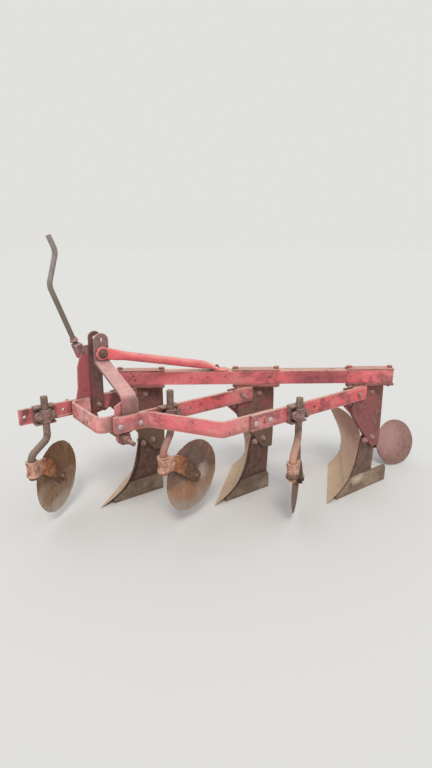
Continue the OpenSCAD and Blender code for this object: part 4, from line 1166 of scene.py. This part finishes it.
def make_thread():
    step = THREAD_PITCH / RINGS_PER_TURN
    rings = int((THREAD_TO - THREAD_FROM) / step)
    profile = [(THREAD_ROOT, THREAD_FROM + step * i) for i in range(rings + 1)]

    def crest(ring, i):
        if ring in (0, rings):
            return 0.0
        turn = (profile[ring][1] / THREAD_PITCH - i / THREAD_SIDES) % 1
        return THREAD_DEPTH * (1 - abs(2 * turn - 1))

    foot = local(1, *SCREW_FOOT)
    bm = bmesh.new()
    revolve(bm, foot, SCREW_WAY, profile, THREAD_SIDES, shift=crest)
    mesh_piece("screw_thread", bm, ("brown_rust",), 60.0)
    bm = bmesh.new()
    revolve(bm, foot + SCREW_WAY.normalized() * COLLAR_AT, SCREW_WAY, COLLAR_PROFILE, COLLAR_SIDES)
    mesh_piece("screw_collar", bm, ("bracket_finish",), 40.0)


# Weld beads of each leg bracket's web and of the screw bracket, in millimetres: (from X, to X, Y, height)
WEB_WELDS = ((-320, -206, WEB_LEFT, 647), (-320, -206, WEB_RIGHT, 647))
BRACKET_WELDS = ((-14, 86, 13.5, 648), (20, 86, 26.5, 648))
BEAD_R = 0.004
BEAD_STEP = 0.003
BEAD_JITTER = 0.0004
BEAD_SIDES = 8
# Any direction that no bead runs along
BEAD_HINT = (0.3, 0.2, 1)


def bead(bm, k, start_x, end_x, y, z):
    a, b = local(k, start_x, y, z), local(k, end_x, y, z)
    whole = (b - a).length
    count = max(4, int(whole / BEAD_STEP))
    sizes = [BEAD_R * random.uniform(0.82, 1.12) for _ in range(count + 1)]
    sizes[0] = sizes[-1] = BEAD_R * 0.4
    path = [a.lerp(b, i / count) + Vector([random.uniform(-BEAD_JITTER, BEAD_JITTER) for _ in range(3)])
            for i in range(count + 1)]

    def section(length):
        size = sizes[min(count, round(length / whole * count))]
        angles = [math.tau * i / BEAD_SIDES for i in range(BEAD_SIDES)]
        return [(size * math.cos(angle), size * math.sin(angle)) for angle in angles]

    sweep(bm, path, section, BEAD_HINT)


def make_welds():
    bm = bmesh.new()
    for k in BOTTOMS:
        for row in WEB_WELDS:
            bead(bm, k, *row)
    for row in BRACKET_WELDS:
        bead(bm, 1, *row)
    mesh_piece("weld_beads", bm, ("worn_paint",), 60.0)


# Light, floor and background
SUN_AT = Vector((2.5, 3.5, 4.5))
SUN_STRENGTH = 1.35
SUN_SIZE = math.radians(16)
SUN_COLOUR = (1.0, 0.97, 0.93)
SKY = rgb(243, 245, 249)
SKY_STRENGTH = 0.82
BACKDROP = rgb(226, 225, 221)
FLOOR = rgb(222, 221, 217)
FLOOR_SIZE = 60.0


def make_floor():
    bpy.ops.mesh.primitive_plane_add(size=FLOOR_SIZE)
    floor = bpy.context.object
    floor.name = "floor"
    g = Graph(0.0)
    g.material.name = "floor_grey"
    floor.data.materials.append(g.finish(FLOOR, 0.9, g.noise(0, 3.0), 0.0001))


def make_sky():
    """The light from all around, and the plain background that shows in its place."""
    world = bpy.data.worlds.new("sky")
    world.use_nodes = True
    new = world.node_tree.nodes.new
    link = world.node_tree.links.new
    sky = world.node_tree.nodes["Background"]
    sky.inputs["Color"].default_value = SKY
    sky.inputs["Strength"].default_value = SKY_STRENGTH
    backdrop = new("ShaderNodeBackground")
    backdrop.inputs["Color"].default_value = BACKDROP
    path = new("ShaderNodeLightPath")
    seen = path.outputs["Is Camera Ray"]
    for ray in ("Is Glossy Ray", "Is Transmission Ray"):
        either = new("ShaderNodeMath")
        either.operation = "MAXIMUM"
        link(seen, either.inputs[0])
        link(path.outputs[ray], either.inputs[1])
        seen = either.outputs[0]
    choice = new("ShaderNodeMixShader")
    link(seen, choice.inputs[0])
    link(sky.outputs[0], choice.inputs[1])
    link(backdrop.outputs[0], choice.inputs[2])
    link(choice.outputs[0], world.node_tree.nodes["World Output"].inputs["Surface"])
    bpy.context.scene.world = world


def make_sun():
    light = bpy.data.lights.new("key", "SUN")
    light.energy = SUN_STRENGTH
    light.angle = SUN_SIZE
    light.color = SUN_COLOUR
    aim(add_object("key", light), SUN_AT, -SUN_AT)


make_camera()
make_floor()
make_sky()
make_sun()
dress_nodes()
soften_nodes()
make_faces()
make_bolts()
make_discs()
make_wheel()
make_stay()
make_thread()
make_welds()
bpy.context.scene.view_settings.view_transform = "Standard"
